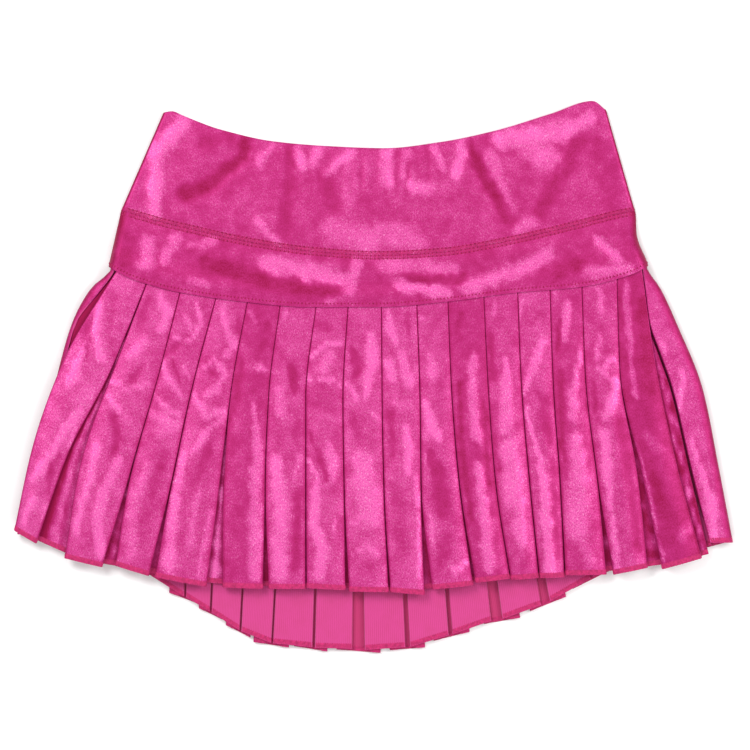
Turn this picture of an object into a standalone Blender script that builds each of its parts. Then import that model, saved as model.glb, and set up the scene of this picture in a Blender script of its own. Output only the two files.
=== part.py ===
"""Pleated mini skort, laid flat on its back: a wide folded waistband, a yoke band, a box-pleated
front and a longer box-pleated back, and inner shorts between them.

The garment lies on the plane z = 0 with its waist towards +Y, its front up and its left side (as it is
looked at) towards -X. Each piece is a wall of cloth that follows rows of sections running across the
garment. The tables below are in millimetres, and a section's wall is built outwards from its middle.
"""

import math
from bisect import bisect_right
from collections import namedtuple

import bmesh
import bpy

MM = 0.001

# Cloth and the room between its layers.
PLEAT_CLOTH = 1.1
YOKE_CLOTH = 1.2
BAND_CLOTH = 2.0  # the waistband is folded double
SHORTS_CLOTH = 1.0
CLEAR = 0.3  # where one piece lies on another
SEAM_GAP = 0.4  # between the edges of two pieces that are sewn together
PARTING = 1.6  # between the middles of two folds that meet
SIDE_SEAM = 1.45  # between the middles of the front's side edge and of the flap beside it
LAP = 3.5  # how far the yoke's lower edge covers the pleats

# The side ends of the three lines that cross the garment: the top edge, the seam under the waistband,
# and the yoke's lower edge.
TOP_LEFT, TOP_RIGHT = -156.0, 172.0
SEAM_LEFT, SEAM_RIGHT = -187.5, 193.5
EDGE_LEFT, EDGE_RIGHT = -197.0, 203.5

# Heights of those lines, read from the left side (share 0) to the right side (share 1).
Line = namedtuple("Line", "share top seam edge")
LINES = (
    Line(0.00, 196.5, 124.0, 82.5),
    Line(0.02, 197.4, 121.7, 77.6),
    Line(0.04, 194.8, 119.5, 73.5),
    Line(0.08, 189.4, 115.1, 68.2),
    Line(0.125, 184.2, 111.0, 63.5),
    Line(0.25, 175.0, 100.5, 56.0),
    Line(0.375, 171.5, 93.5, 52.0),
    Line(0.50, 170.0, 90.5, 52.0),
    Line(0.625, 174.5, 93.0, 56.0),
    Line(0.75, 183.0, 101.0, 62.5),
    Line(0.875, 195.5, 112.0, 67.0),
    Line(0.97, 205.0, 121.3, 76.6),
    Line(1.00, 198.0, 123.5, 83.0),
)

# Where two front boxes meet: the place of the parting at the seam, a third and two thirds of the way
# down, then the hem corners of the box on its left and of the box on its right with their heights, and
# the height that the box on its right is crowned by.
Fold = namedtuple("Fold", "seam upper lower hem_left hem_right gap y_left y_right crown")
FRONT_FOLDS = (
    Fold(-189.0, -228.0, -252.0, -266.5, -266.5, 0.0, -113.0, -113.0, 2.4),
    Fold(-167.0, -193.5, -222.0, -250.0, -228.5, 10.5, -122.5, -133.5, 2.0),
    Fold(-142.5, -160.5, -180.0, -201.5, -191.0, 2.2, -140.0, -139.0, 1.6),
    Fold(-116.0, -134.5, -149.5, -167.0, -161.5, 1.0, -146.5, -147.5, 2.8),
    Fold(-93.0, -106.0, -113.0, -124.5, -111.5, 4.4, -154.5, -155.0, 2.0),
    Fold(-69.0, -78.0, -80.5, -82.5, -77.5, 1.5, -156.0, -156.0, 1.6),
    Fold(-42.5, -50.5, -50.5, -51.0, -49.5, 0.0, -156.0, -155.5, 1.8),
    Fold(-19.0, -23.0, -22.0, -21.5, -18.0, 0.0, -157.0, -158.0, 1.8),
    Fold(5.5, 6.0, 7.5, 10.5, 12.5, 0.0, -158.5, -158.5, 2.0),
    Fold(31.5, 34.0, 35.0, 37.0, 43.5, 1.5, -160.5, -156.5, 2.4),
    Fold(54.5, 57.5, 63.5, 73.0, 75.5, 0.0, -153.5, -151.5, 2.6),
    Fold(81.0, 84.5, 90.0, 101.0, 101.0, 0.0, -148.5, -149.5, 2.6),
    Fold(106.0, 109.0, 115.0, 121.5, 123.0, 0.0, -148.0, -148.0, 2.6),
    Fold(130.0, 132.5, 137.5, 140.5, 142.0, 0.0, -147.5, -146.0, 2.8),
    Fold(153.5, 156.5, 165.0, 171.5, 177.5, 0.7, -145.5, -145.5, 2.8),
    Fold(179.5, 182.0, 196.0, 202.0, 213.5, 4.4, -140.5, -141.5, 3.0),
    Fold(197.6, 208.3, 223.5, 242.8, 242.8, 0.0, -133.5, -133.5, 0.0),
)

# The back's boxes, whose folds run straight: sides at the seam and at the hem, the hem corners'
# heights, and where the two returns under the box end at the hem.
BackBox = namedtuple(
    "BackBox", "seam_left seam_right hem_left hem_right y_left y_right inner_left inner_right"
)
BACK_BOXES = (
    BackBox(-197.5, -173.0, -250.0, -204.0, -116.0, -130.0, -222.0, -218.0),
    BackBox(-173.0, -148.0, -200.0, -166.0, -132.0, -142.5, -184.0, -182.0),
    BackBox(-148.0, -123.5, -151.5, -133.0, -159.5, -166.5, -141.0, -139.0),
    BackBox(-123.5, -99.0, -129.5, -113.0, -171.0, -179.0, -122.0, -120.0),
    BackBox(-99.0, -74.0, -109.5, -92.0, -183.5, -192.5, -100.0, -98.0),
    BackBox(-74.0, -49.5, -89.0, -63.5, -196.0, -200.0, -76.5, -74.5),
    BackBox(-49.5, -25.0, -59.0, -35.0, -199.0, -203.0, -46.0, -43.5),
    BackBox(-25.0, 0.0, -27.5, 4.5, -201.5, -204.0, -16.5, -6.5),
    BackBox(0.0, 24.5, 12.0, 37.5, -202.0, -200.0, 23.0, 27.0),
    BackBox(24.5, 49.0, 44.5, 70.5, -195.0, -188.5, 55.0, 58.5),
    BackBox(49.0, 73.5, 82.0, 108.0, -182.5, -178.0, 86.5, 95.5),
    BackBox(73.5, 98.5, 116.0, 142.0, -173.0, -162.5, 123.5, 130.5),
    BackBox(98.5, 123.0, 147.5, 176.0, -156.5, -142.5, 160.0, 162.5),
    BackBox(123.0, 147.5, 180.5, 205.5, -141.0, -133.5, 192.0, 194.5),
    BackBox(147.5, 172.5, 210.0, 237.0, -132.0, -127.5, 222.0, 224.5),
    BackBox(172.5, 203.5, 241.0, 265.5, -127.5, -122.0, 250.0, 254.0),
)
INNER_RISE = 1.5  # the faces between the boxes end this much higher at the hem
SEAM_INNER = 12.0  # depth of the side boxes' returns at the seam

# The sections down the skirt, at shares of its length: the heights of a pleat's three layers in the
# front and in the back, and how much of its crown a front box has there.
Level = namedtuple("Level", "down front_low front_mid front_top crown back_top back_mid back_low")
LEVELS = (
    Level(0.00, 9.05, 10.55, 12.05, 0.00, 5.05, 3.55, 2.05),
    Level(0.02, 9.05, 10.55, 12.05, 0.00, 5.05, 3.55, 2.05),
    Level(0.09, 8.45, 9.95, 11.45, 0.15, 3.55, 2.05, 0.55),
    Level(0.22, 7.55, 9.05, 10.55, 0.40, 3.55, 2.05, 0.55),
    Level(0.45, 7.55, 9.05, 10.55, 0.70, 3.55, 2.05, 0.55),
    Level(0.72, 7.55, 9.20, 10.90, 0.90, 3.60, 2.05, 0.55),
    Level(1.00, 6.00, 8.30, 11.00, 1.00, 4.00, 2.20, 0.55),
)

# The back wraps round both sides of the front: the side's outline, the free fold of the flap that
# shows from the front, its height, and how far that fold turns down.
Side = namedtuple("Side", "outline flap height turn")
LEFT_SIDE = (
    Side(-193.7, -190.6, 9.3, 1.2),
    Side(-194.6, -192.2, 9.3, 1.2),
    Side(-209.4, -202.5, 9.0, 1.4),
    Side(-223.5, -221.4, 7.9, 0.8),
    Side(-236.5, -232.0, 7.3, 0.5),
    Side(-251.5, -246.5, 7.3, 0.5),
    Side(-264.0, -261.2, 5.9, 0.5),
)
RIGHT_SIDE = (
    Side(201.0, 198.6, 9.3, 1.2),
    Side(201.8, 199.4, 9.3, 1.2),
    Side(211.5, 201.6, 9.6, 1.4),
    Side(224.0, 206.4, 9.8, 1.6),
    Side(243.0, 221.4, 10.0, 2.0),
    Side(254.5, 234.4, 10.0, 2.0),
    Side(265.5, 248.6, 9.6, 2.6),
)
SIDE_CURL = 5.0  # how far in the side fold is round
CURL_ANGLES = (52, 18, -18, -52)

# The stops of the cloth's path through one box: across it (0 and 1 are its two outer folds, and the
# inner folds lie near its middle), which of the three layers, and its share of the crown.
Stop = namedtuple("Stop", "across layer crown")
BOX_PATH = (
    Stop("inner_left", "low", 0.0),
    Stop("inner_left", "mid", 0.0),
    Stop(0.0, "mid", 0.0),
    Stop(0.0, "top", 0.0),
    Stop(0.22, "top", 0.68),
    Stop(0.5, "top", 1.0),
    Stop(0.78, "top", 0.68),
    Stop(1.0, "top", 0.0),
    Stop(1.0, "mid", 0.0),
    Stop("inner_right", "mid", 0.0),
    Stop("inner_right", "low", 0.0),
)

# Waistband and yoke.
BAND_ROWS = (0.0, 0.025, 0.12, 0.25, 0.4, 0.55, 0.7, 0.85, 1.0)
BAND_PUFF = 1.6  # how far the front stands off the back in the middle
BAND_EDGE = 0.55  # half the thickness at the folded edge
BAND_ROUND = 2.0  # how far in the edges are rounded
YOKE_ROWS = (0.0, 0.2, 0.4, 0.6, 0.8, 1.0)
YOKE_CURL = 5.5  # how far in its sides are round
YOKE_NIP = 3.0  # how far its right side is drawn in between the two seams
GATHERS, GATHER_DEPTH = 18, 0.35
GATHER_LEFT, GATHER_RIGHT = -68.0, 76.0
GATHER_HEAD, GATHER_FOOT = 0.03, 0.53  # the shares of the waistband's height between which they run

# Broad creases in the front of the waistband: each runs from its head down to its foot, either pressed
# in (a depth below 0) or raised.
Crease = namedtuple("Crease", "head_x head_y foot_x foot_y width depth")
BAND_CREASES = (
    Crease(-92.0, 176.0, -134.0, 136.0, 9.0, -1.1),
    Crease(-160.0, 188.0, -161.0, 124.0, 9.0, 0.5),
    Crease(68.0, 177.0, 102.0, 110.0, 10.0, -1.1),
    Crease(136.0, 190.0, 92.0, 118.0, 13.0, 0.6),
    Crease(2.0, 166.0, -8.0, 100.0, 22.0, 0.5),
)

# Inner shorts: the height of the row at the middle and at the sides, the outer sides, how far each
# leg's inner edge is from the middle, and the height of the back layer.
MIDDLE_X = 3.0
ShortsRow = namedtuple("ShortsRow", "from_line middle_y side_y left right inner height")
SHORTS_ROWS = (
    ShortsRow("seam", -0.5, -0.5, -176.0, 183.0, 0.2, 2.0),
    ShortsRow("edge", 7.0, 7.0, -183.0, 190.0, 0.2, 6.4),
    ShortsRow("edge", -6.0, -6.0, -187.0, 193.0, 0.2, 6.4),
    ShortsRow("edge", -30.0, -30.0, -192.0, 198.0, 0.2, 4.9),
    ShortsRow(None, -30.0, -10.0, -200.0, 206.0, 0.2, 4.9),
    ShortsRow(None, -68.0, -42.0, -207.0, 213.0, 0.2, 4.9),
    ShortsRow(None, -102.0, -66.0, -212.0, 218.0, 7.0, 4.9),
)
SHORTS_COLUMNS = 6

FOIL = ("foil_knit", (0.62, 0.045, 0.25, 1.0), 0.38, 0.55)
SHORTS_KNIT = ("shorts_knit", (0.60, 0.06, 0.26, 1.0), 0.8, 0.0)


def smooth(stations, values, at):
    """The value at a place on a smooth curve through the stations, which doesn't overshoot them."""
    if at <= stations[0]:
        return values[0]
    if at >= stations[-1]:
        return values[-1]
    steps = [b - a for a, b in zip(stations, stations[1:])]
    slopes = [(b - a) / step for a, b, step in zip(values, values[1:], steps)]

    def tangent(i):
        if i in (0, len(slopes)):
            return slopes[min(i, len(slopes) - 1)]
        before, after = slopes[i - 1], slopes[i]
        return 0.0 if before * after <= 0 else 2 * before * after / (before + after)

    k = bisect_right(stations, at) - 1
    u = (at - stations[k]) / steps[k]
    rise = steps[k] * (tangent(k) * u * (1 - u) ** 2 - tangent(k + 1) * u * u * (1 - u))
    return values[k] + (values[k + 1] - values[k]) * u * u * (3 - 2 * u) + rise


def mix(a, b, share):
    return a + (b - a) * share


SHARES = [line.share for line in LINES]


def line_y(name, share):
    return smooth(SHARES, [getattr(line, name) for line in LINES], share)


def share_at(name, x):
    left, right = {"seam": (SEAM_LEFT, SEAM_RIGHT), "edge": (EDGE_LEFT, EDGE_RIGHT)}[name]
    return min(max((x - left) / (right - left), 0.0), 1.0)


def line_y_at(name, x):
    return line_y(name, share_at(name, x))


# ---------------------------------------------------------------- walls


def offsets(path):
    """For each point of a path in x and z, the step to its left that keeps a wall's thickness even."""
    normals = []
    for (x0, z0), (x1, z1) in zip(path, path[1:]):
        length = math.hypot(x1 - x0, z1 - z0)
        normals.append((-(z1 - z0) / length, (x1 - x0) / length))
    normals = [normals[0]] + normals + [normals[-1]]
    steps = []
    for (ax, az), (bx, bz) in zip(normals, normals[1:]):
        spread = 1 + ax * bx + az * bz
        steps.append(((ax + bx) / spread, (az + bz) / spread))
    return steps


def material_named(name, colour, roughness, metallic):
    material = bpy.data.materials.get(name) or bpy.data.materials.new(name)
    material.use_nodes = True
    surface = material.node_tree.nodes["Principled BSDF"]
    surface.inputs["Base Color"].default_value = colour
    surface.inputs["Roughness"].default_value = roughness
    surface.inputs["Metallic"].default_value = metallic
    material.diffuse_color = colour
    return material


def cloth_wall(name, sections, halves, look):
    """A closed wall round rows of points (x, y, z). halves holds each point's half thickness."""
    mesh = bmesh.new()
    over, under = [], []
    for section, row in zip(sections, halves):
        steps = offsets([(x, z) for x, _, z in section])
        for side, grid in ((1, over), (-1, under)):
            grid.append(
                [
                    mesh.verts.new(((x + side * h * dx) * MM, y * MM, (z + side * h * dz) * MM))
                    for (x, y, z), (dx, dz), h in zip(section, steps, row)
                ]
            )
    for grid in (over, under):
        for upper, lower in zip(grid, grid[1:]):
            for a, b, c, d in zip(upper, upper[1:], lower[1:], lower):
                mesh.faces.new((a, b, c, d))
    rims = [(over[0], under[0]), (over[-1], under[-1])]
    rims += [([row[end] for row in over], [row[end] for row in under]) for end in (0, -1)]
    for one, other in rims:
        for a, b, c, d in zip(one, one[1:], other[1:], other):
            mesh.faces.new((a, b, c, d))
    bmesh.ops.recalc_face_normals(mesh, faces=mesh.faces)
    data = bpy.data.meshes.new(name)
    mesh.to_mesh(data)
    mesh.free()
    data.materials.append(material_named(*look))
    piece = bpy.data.objects.new(name, data)
    bpy.context.scene.collection.objects.link(piece)
    return piece


def even(sections, thickness):
    return [[thickness / 2] * len(section) for section in sections]


# ---------------------------------------------------------------- pleated skirt

THIRDS = (0.0, 1 / 3, 2 / 3, 1.0)


def front_boxes(down):
    """The sides of each front box at a share of the way down, and its hem corners' heights."""
    boxes = []
    for left, right in zip(FRONT_FOLDS, FRONT_FOLDS[1:]):
        sides = []
        for fold, hand in ((left, 1), (right, -1)):
            hem = (fold.hem_left + fold.hem_right) / 2
            line = smooth(THIRDS, (fold.seam, fold.upper, fold.lower, hem), down)
            hem_gap = max(fold.hem_right - fold.hem_left, PARTING)
            gap = smooth(THIRDS, (PARTING, PARTING, max(fold.gap, PARTING), hem_gap), down)
            sides.append(line + hand * gap / 2)
        middle = (sides[0] + sides[1]) / 2
        boxes.append(
            {
                "sides": sides,
                "inner_left": middle - PARTING / 2 - 0.2,
                "inner_right": middle + PARTING / 2 + 0.2,
                "hem": (left.y_right, right.y_left),
                "crown": left.crown,
            }
        )
    return boxes


def back_boxes(down):
    """The same for the back, whose returns meet off the boxes' middles."""
    boxes = []
    for k, box in enumerate(BACK_BOXES):
        middle = (box.seam_left + box.seam_right) / 2
        inner_left, inner_right = middle - 1.0, middle + 1.0
        if k == 0:
            inner_right = box.seam_right - SEAM_INNER
        if k == len(BACK_BOXES) - 1:
            inner_left = box.seam_left + SEAM_INNER
        boxes.append(
            {
                "sides": (
                    mix(box.seam_left + PARTING / 2, box.hem_left, down),
                    mix(box.seam_right - PARTING / 2, box.hem_right, down),
                ),
                "inner_left": mix(inner_left, box.inner_left, down),
                "inner_right": mix(inner_right, box.inner_right, down),
                "hem": (box.y_left, box.y_right),
                "crown": 0.0,
            }
        )
    return boxes


def box_stop(box, stop, layers, crown):
    """The x and z of one stop of the path, and the hem's height below it."""
    left, right = box["sides"]
    x = box[stop.across] if isinstance(stop.across, str) else mix(left, right, stop.across)
    share = (x - left) / (right - left)
    rise = INNER_RISE if stop.layer == "low" else 0.0
    return x, layers[stop.layer] + stop.crown * box["crown"] * crown, mix(*box["hem"], share) + rise


def seam_end(box, x, z):
    """A side end of the front's cloth, whose hem carries on in line with the nearest box's."""
    left, right = box["sides"]
    return x, z, mix(*box["hem"], (x - left) / (right - left)) + INNER_RISE


def front_path(row):
    """The front's cloth from its left seam edge through all its boxes to its right seam edge."""
    level = LEVELS[row]
    layers = {"low": level.front_low, "mid": level.front_mid, "top": level.front_top}
    boxes = front_boxes(level.down)
    path = [seam_end(boxes[0], LEFT_SIDE[row].flap + SIDE_SEAM, level.front_low)]
    for box in boxes:
        path += [box_stop(box, stop, layers, level.crown) for stop in BOX_PATH]
    path.append(seam_end(boxes[-1], RIGHT_SIDE[row].flap - SIDE_SEAM, level.front_low))
    return path


def side_path(side, floor, hand):
    """The back's cloth round one side, from the flap's turned edge down to the floor."""
    reach = abs(side.flap - side.outline)
    middle, half = (side.height + floor) / 2, (side.height - floor) / 2
    path = [(side.flap, side.height - side.turn), (side.flap, side.height)]
    for angle in CURL_ANGLES:
        width = min(reach, SIDE_CURL) if angle > 0 else SIDE_CURL
        turn = math.radians(angle)
        path.append((side.outline - hand * width * (1 - math.cos(turn)), middle + half * math.sin(turn)))
    path.append((side.outline - hand * SIDE_CURL, floor))
    return path


def back_path(row):
    """The back's cloth from the flap at the left, under the garment, to the flap at the right."""
    level = LEVELS[row]
    layers = {"low": level.back_top, "mid": level.back_mid, "top": level.back_low}
    boxes = back_boxes(level.down)
    first, last = boxes[0], boxes[-1]
    left = side_path(LEFT_SIDE[row], level.back_low, -1)
    right = side_path(RIGHT_SIDE[row], level.back_low, 1)
    path = [(x, z, first["hem"][0]) for x, z in left]
    path += [box_stop(first, stop, layers, 0.0) for stop in BOX_PATH[-4:]]
    for box in boxes[1:-1]:
        path += [box_stop(box, stop, layers, 0.0) for stop in BOX_PATH]
    path += [box_stop(last, stop, layers, 0.0) for stop in BOX_PATH[:4]]
    path += [(x, z, last["hem"][1]) for x, z in reversed(right)]
    return path


def skirt(name, path_at):
    """A pleated skirt panel: each section runs level with the seam at its top and with the hem."""
    paths = [path_at(row) for row in range(len(LEVELS))]
    sections = []
    for level, path in zip(LEVELS, paths):
        section = []
        for (seam_x, _, _), (x, z, hem_y) in zip(paths[0], path):
            seam_y = line_y_at("edge", seam_x) + LAP
            section.append((x, mix(seam_y, hem_y, level.down), z))
        sections.append(section)
    return cloth_wall(name, sections, even(sections, PLEAT_CLOTH), FOIL)


# ---------------------------------------------------------------- waistband and yoke


def gather(x, down):
    """The height of the small upright gathers under the top edge."""
    along = (x - GATHER_LEFT) / (GATHER_RIGHT - GATHER_LEFT)
    if not (0 < along < 1 and GATHER_HEAD < down < GATHER_FOOT):
        return 0.0
    fade_across = math.sin(math.pi * along) ** 0.5
    fade_down = math.sin(math.pi * (down - GATHER_HEAD) / (GATHER_FOOT - GATHER_HEAD))
    return GATHER_DEPTH * math.cos(2 * math.pi * GATHERS * along) * fade_across * fade_down


def puff(share, down):
    """How far the waistband's front stands off its back here."""
    downwards = 0.35 + 0.65 * math.sin(0.75 * math.pi * min(down + 0.1, 1.0))
    return BAND_PUFF * math.sin(math.pi * share) ** 0.6 * downwards


def crease(x, y):
    """How far the broad creases raise or lower the waistband's front here."""
    total = 0.0
    for fold in BAND_CREASES:
        run_x, run_y = fold.foot_x - fold.head_x, fold.foot_y - fold.head_y
        length = math.hypot(run_x, run_y)
        along = ((x - fold.head_x) * run_x + (y - fold.head_y) * run_y) / length**2
        aside = ((x - fold.head_x) * run_y - (y - fold.head_y) * run_x) / length
        if 0 < along < 1:
            total += fold.depth * math.exp(-((aside / fold.width) ** 2)) * math.sin(math.pi * along) ** 0.6
    return total


def band_columns():
    """Shares across the waistband: close together at its rounded sides and along the gathers."""
    width = SEAM_RIGHT - SEAM_LEFT
    near = [0.0, BAND_ROUND / width, 0.02, 0.035, 0.05]
    left = (GATHER_LEFT - SEAM_LEFT) / width
    right = (GATHER_RIGHT - SEAM_LEFT) / width
    plain = [mix(0.05, left, k / 6) for k in range(1, 6)]
    gathers = [mix(left, right, k / (2 * GATHERS)) for k in range(2 * GATHERS + 1)]
    more = [mix(right, 0.95, k / 6) for k in range(1, 6)]
    return near + plain + gathers + more + [1 - share for share in reversed(near)]


def even_columns(count):
    width = SEAM_RIGHT - SEAM_LEFT
    near = [0.0, BAND_ROUND / width, 0.03]
    inside = [mix(0.03, 0.97, k / count) for k in range(1, count)]
    return near + inside + [1 - share for share in reversed(near)]


def waistband(name, front):
    """One half of the waistband. Its top edge and its side edges are rounded off."""
    columns = band_columns() if front else even_columns(14)
    rest = 1.5 * BAND_CLOTH + CLEAR if front else BAND_CLOTH / 2
    sections, halves = [], []
    for down in BAND_ROWS:
        section, half = [], []
        for share in columns:
            x = mix(mix(TOP_LEFT, TOP_RIGHT, share), mix(SEAM_LEFT, SEAM_RIGHT, share), down)
            foot = line_y("seam", share) + SEAM_GAP / 2
            y = mix(line_y("top", share), foot, down)
            edge = down == 0.0 or share in (0.0, 1.0)
            z = rest
            if front:
                z += max(0.0, puff(share, down) + crease(x, y) + gather(x, down)) * min(1.0, down / 0.12)
                z -= 0.45 if share in (0.0, 1.0) else 0.0
            section.append((x, y, z))
            half.append(BAND_EDGE if edge else BAND_CLOTH / 2)
        sections.append(section)
        halves.append(half)
    return cloth_wall(name, sections, halves, FOIL)


def yoke(name, front):
    """One half of the yoke. The front one climbs over the pleats and turns down at its sides."""
    low = YOKE_CLOTH + CLEAR
    seam_top = 2 * SHORTS_CLOTH + 3 * CLEAR + 1.5 * YOKE_CLOTH
    edge_top = LEVELS[0].front_top + PLEAT_CLOTH / 2 + CLEAR + YOKE_CLOTH / 2
    curl = (0.0, 0.1, 0.35, 0.65, 1.0)
    sections = []
    for down in YOKE_ROWS:
        left = mix(SEAM_LEFT, EDGE_LEFT, down)
        right = mix(SEAM_RIGHT, EDGE_RIGHT, down) - YOKE_NIP * math.sin(math.pi * down) ** 2
        inside = [mix(left + YOKE_CURL, right - YOKE_CURL, k / 16) for k in range(1, 16)]
        near = [YOKE_CURL * step for step in curl]
        across = [left + step for step in near] + inside + [right - step for step in reversed(near)]
        climb = min(down / 0.8, 1.0)
        top = mix(seam_top, edge_top, climb * climb * (3 - 2 * climb))
        section = []
        for x in across:
            share = (x - left) / (right - left)
            y = mix(line_y("seam", share) - SEAM_GAP / 2, line_y("edge", share), down)
            if front:
                reach = min(1.0, min(x - left, right - x) / YOKE_CURL)
                z = mix(low, top, math.sqrt(1 - (1 - reach) ** 2))
            else:
                z = YOKE_CLOTH / 2
            section.append((x, y, z))
        sections.append(section)
    return cloth_wall(name, sections, even(sections, YOKE_CLOTH), FOIL)


# ---------------------------------------------------------------- inner shorts


def shorts_leg(name, hand):
    """One side of the shorts, a single piece folded at the outer side: its front lies on its back."""
    sections = []
    for row in SHORTS_ROWS:
        outer = row.left if hand < 0 else row.right
        inner = MIDDLE_X + hand * row.inner
        upper = row.height + SHORTS_CLOTH + CLEAR
        columns = [mix(inner, outer, k / SHORTS_COLUMNS) for k in range(SHORTS_COLUMNS + 1)]
        section = []
        for z, across in ((upper, columns), (row.height, columns[::-1])):
            for x in across:
                aside = abs(x - MIDDLE_X) / abs(outer - MIDDLE_X)
                y = mix(row.middle_y, row.side_y, aside**1.5)
                if row.from_line:
                    y += line_y_at(row.from_line, x)
                section.append((x, y, z))
        sections.append(section)
    return cloth_wall(name, sections, even(sections, SHORTS_CLOTH), SHORTS_KNIT)


def main():
    for old in list(bpy.data.objects):
        bpy.data.objects.remove(old)
    waistband("waistband_front", True)
    waistband("waistband_back", False)
    yoke("yoke_front", True)
    yoke("yoke_back", False)
    skirt("skirt_front", front_path)
    skirt("skirt_back", back_path)
    shorts_leg("shorts_left", -1)
    shorts_leg("shorts_right", 1)


main()
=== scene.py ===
"""Looks of the pleated mini skort laid flat on its back.

The cloth of each solid is remade as a thin shell on the same sections, with its folds rounded and its
creases placed one by one, and it gets its seams, stitches and hem edging. Tables are in millimetres, in the
frame of the solids: the waist is towards +Y, the front is up and the garment lies on z = 0.
"""

import math
from bisect import bisect_right
from collections import namedtuple

import bpy
import numpy as np
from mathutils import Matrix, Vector, noise


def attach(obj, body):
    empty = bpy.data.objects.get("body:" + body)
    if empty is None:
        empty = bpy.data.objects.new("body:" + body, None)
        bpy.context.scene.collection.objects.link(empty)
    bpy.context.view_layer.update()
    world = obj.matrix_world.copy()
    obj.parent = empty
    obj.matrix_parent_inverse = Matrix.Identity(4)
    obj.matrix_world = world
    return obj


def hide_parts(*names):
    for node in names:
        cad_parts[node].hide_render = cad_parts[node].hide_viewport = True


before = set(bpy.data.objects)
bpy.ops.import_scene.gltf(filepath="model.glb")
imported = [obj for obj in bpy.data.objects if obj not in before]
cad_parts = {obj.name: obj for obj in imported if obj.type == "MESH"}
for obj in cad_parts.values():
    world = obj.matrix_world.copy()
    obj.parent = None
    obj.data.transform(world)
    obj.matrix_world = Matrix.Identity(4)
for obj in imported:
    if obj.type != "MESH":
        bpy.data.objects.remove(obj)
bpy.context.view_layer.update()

bl_info = {
    "name": "Pleated mini skort",
    "version": (1, 0, 0),
    "blender": (4, 5, 0),
    "location": "3D View > Sidebar > Skort",
    "description": "Cloth, seams and hems of a pleated mini skort laid flat",
    "category": "Object",
}

MM = 0.001

# ---------------------------------------------------------------- sizes shared with the solids

# Cloth and the room between its layers.
PLEAT_CLOTH = 1.1
YOKE_CLOTH = 1.2
BAND_CLOTH = 2.0  # the waistband is folded double
SHORTS_CLOTH = 1.0
CLEAR = 0.3  # where one piece lies on another
PARTING = 1.6  # between the middles of two folds that meet
LAP = 3.5  # how far the yoke's lower edge covers the pleats

# The side ends of the three lines that cross the garment: the top edge, the seam under the waistband,
# and the yoke's lower edge.
TOP_LEFT, TOP_RIGHT = -156.0, 172.0
SEAM_LEFT, SEAM_RIGHT = -187.5, 193.5
EDGE_LEFT, EDGE_RIGHT = -197.0, 203.5

# Heights of those lines, read from the left side (share 0) to the right side (share 1).
Line = namedtuple("Line", "share top seam edge")
LINES = (
    Line(0.00, 196.5, 124.0, 82.5),
    Line(0.02, 197.4, 121.7, 77.6),
    Line(0.04, 194.8, 119.5, 73.5),
    Line(0.08, 189.4, 115.1, 68.2),
    Line(0.125, 184.2, 111.0, 63.5),
    Line(0.25, 175.0, 100.5, 56.0),
    Line(0.375, 171.5, 93.5, 52.0),
    Line(0.50, 170.0, 90.5, 52.0),
    Line(0.625, 174.5, 93.0, 56.0),
    Line(0.75, 183.0, 101.0, 62.5),
    Line(0.875, 195.5, 112.0, 67.0),
    Line(0.97, 205.0, 121.3, 76.6),
    Line(1.00, 198.0, 123.5, 83.0),
)

# Where two front boxes meet: the place of the parting at the seam, a third and two thirds of the way
# down, then the hem corners of the box on its left and of the box on its right with their heights, and
# the height that the box on its right is crowned by.
Fold = namedtuple("Fold", "seam upper lower hem_left hem_right gap y_left y_right crown")
FRONT_FOLDS = (
    Fold(-189.0, -228.0, -252.0, -266.5, -266.5, 0.0, -113.0, -113.0, 2.4),
    Fold(-167.0, -193.5, -222.0, -250.0, -228.5, 10.5, -122.5, -133.5, 2.0),
    Fold(-142.5, -160.5, -180.0, -201.5, -191.0, 2.2, -140.0, -139.0, 1.6),
    Fold(-116.0, -134.5, -149.5, -167.0, -161.5, 1.0, -146.5, -147.5, 2.8),
    Fold(-93.0, -106.0, -113.0, -124.5, -111.5, 4.4, -154.5, -155.0, 2.0),
    Fold(-69.0, -78.0, -80.5, -82.5, -77.5, 1.5, -156.0, -156.0, 1.6),
    Fold(-42.5, -50.5, -50.5, -51.0, -49.5, 0.0, -156.0, -155.5, 1.8),
    Fold(-19.0, -23.0, -22.0, -21.5, -18.0, 0.0, -157.0, -158.0, 1.8),
    Fold(5.5, 6.0, 7.5, 10.5, 12.5, 0.0, -158.5, -158.5, 2.0),
    Fold(31.5, 34.0, 35.0, 37.0, 43.5, 1.5, -160.5, -156.5, 2.4),
    Fold(54.5, 57.5, 63.5, 73.0, 75.5, 0.0, -153.5, -151.5, 2.6),
    Fold(81.0, 84.5, 90.0, 101.0, 101.0, 0.0, -148.5, -149.5, 2.6),
    Fold(106.0, 109.0, 115.0, 121.5, 123.0, 0.0, -148.0, -148.0, 2.6),
    Fold(130.0, 132.5, 137.5, 140.5, 142.0, 0.0, -147.5, -146.0, 2.8),
    Fold(153.5, 156.5, 165.0, 171.5, 177.5, 0.7, -145.5, -145.5, 2.8),
    Fold(179.5, 182.0, 196.0, 202.0, 213.5, 4.4, -140.5, -141.5, 3.0),
    Fold(197.6, 208.3, 223.5, 242.8, 242.8, 0.0, -133.5, -133.5, 0.0),
)

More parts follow.
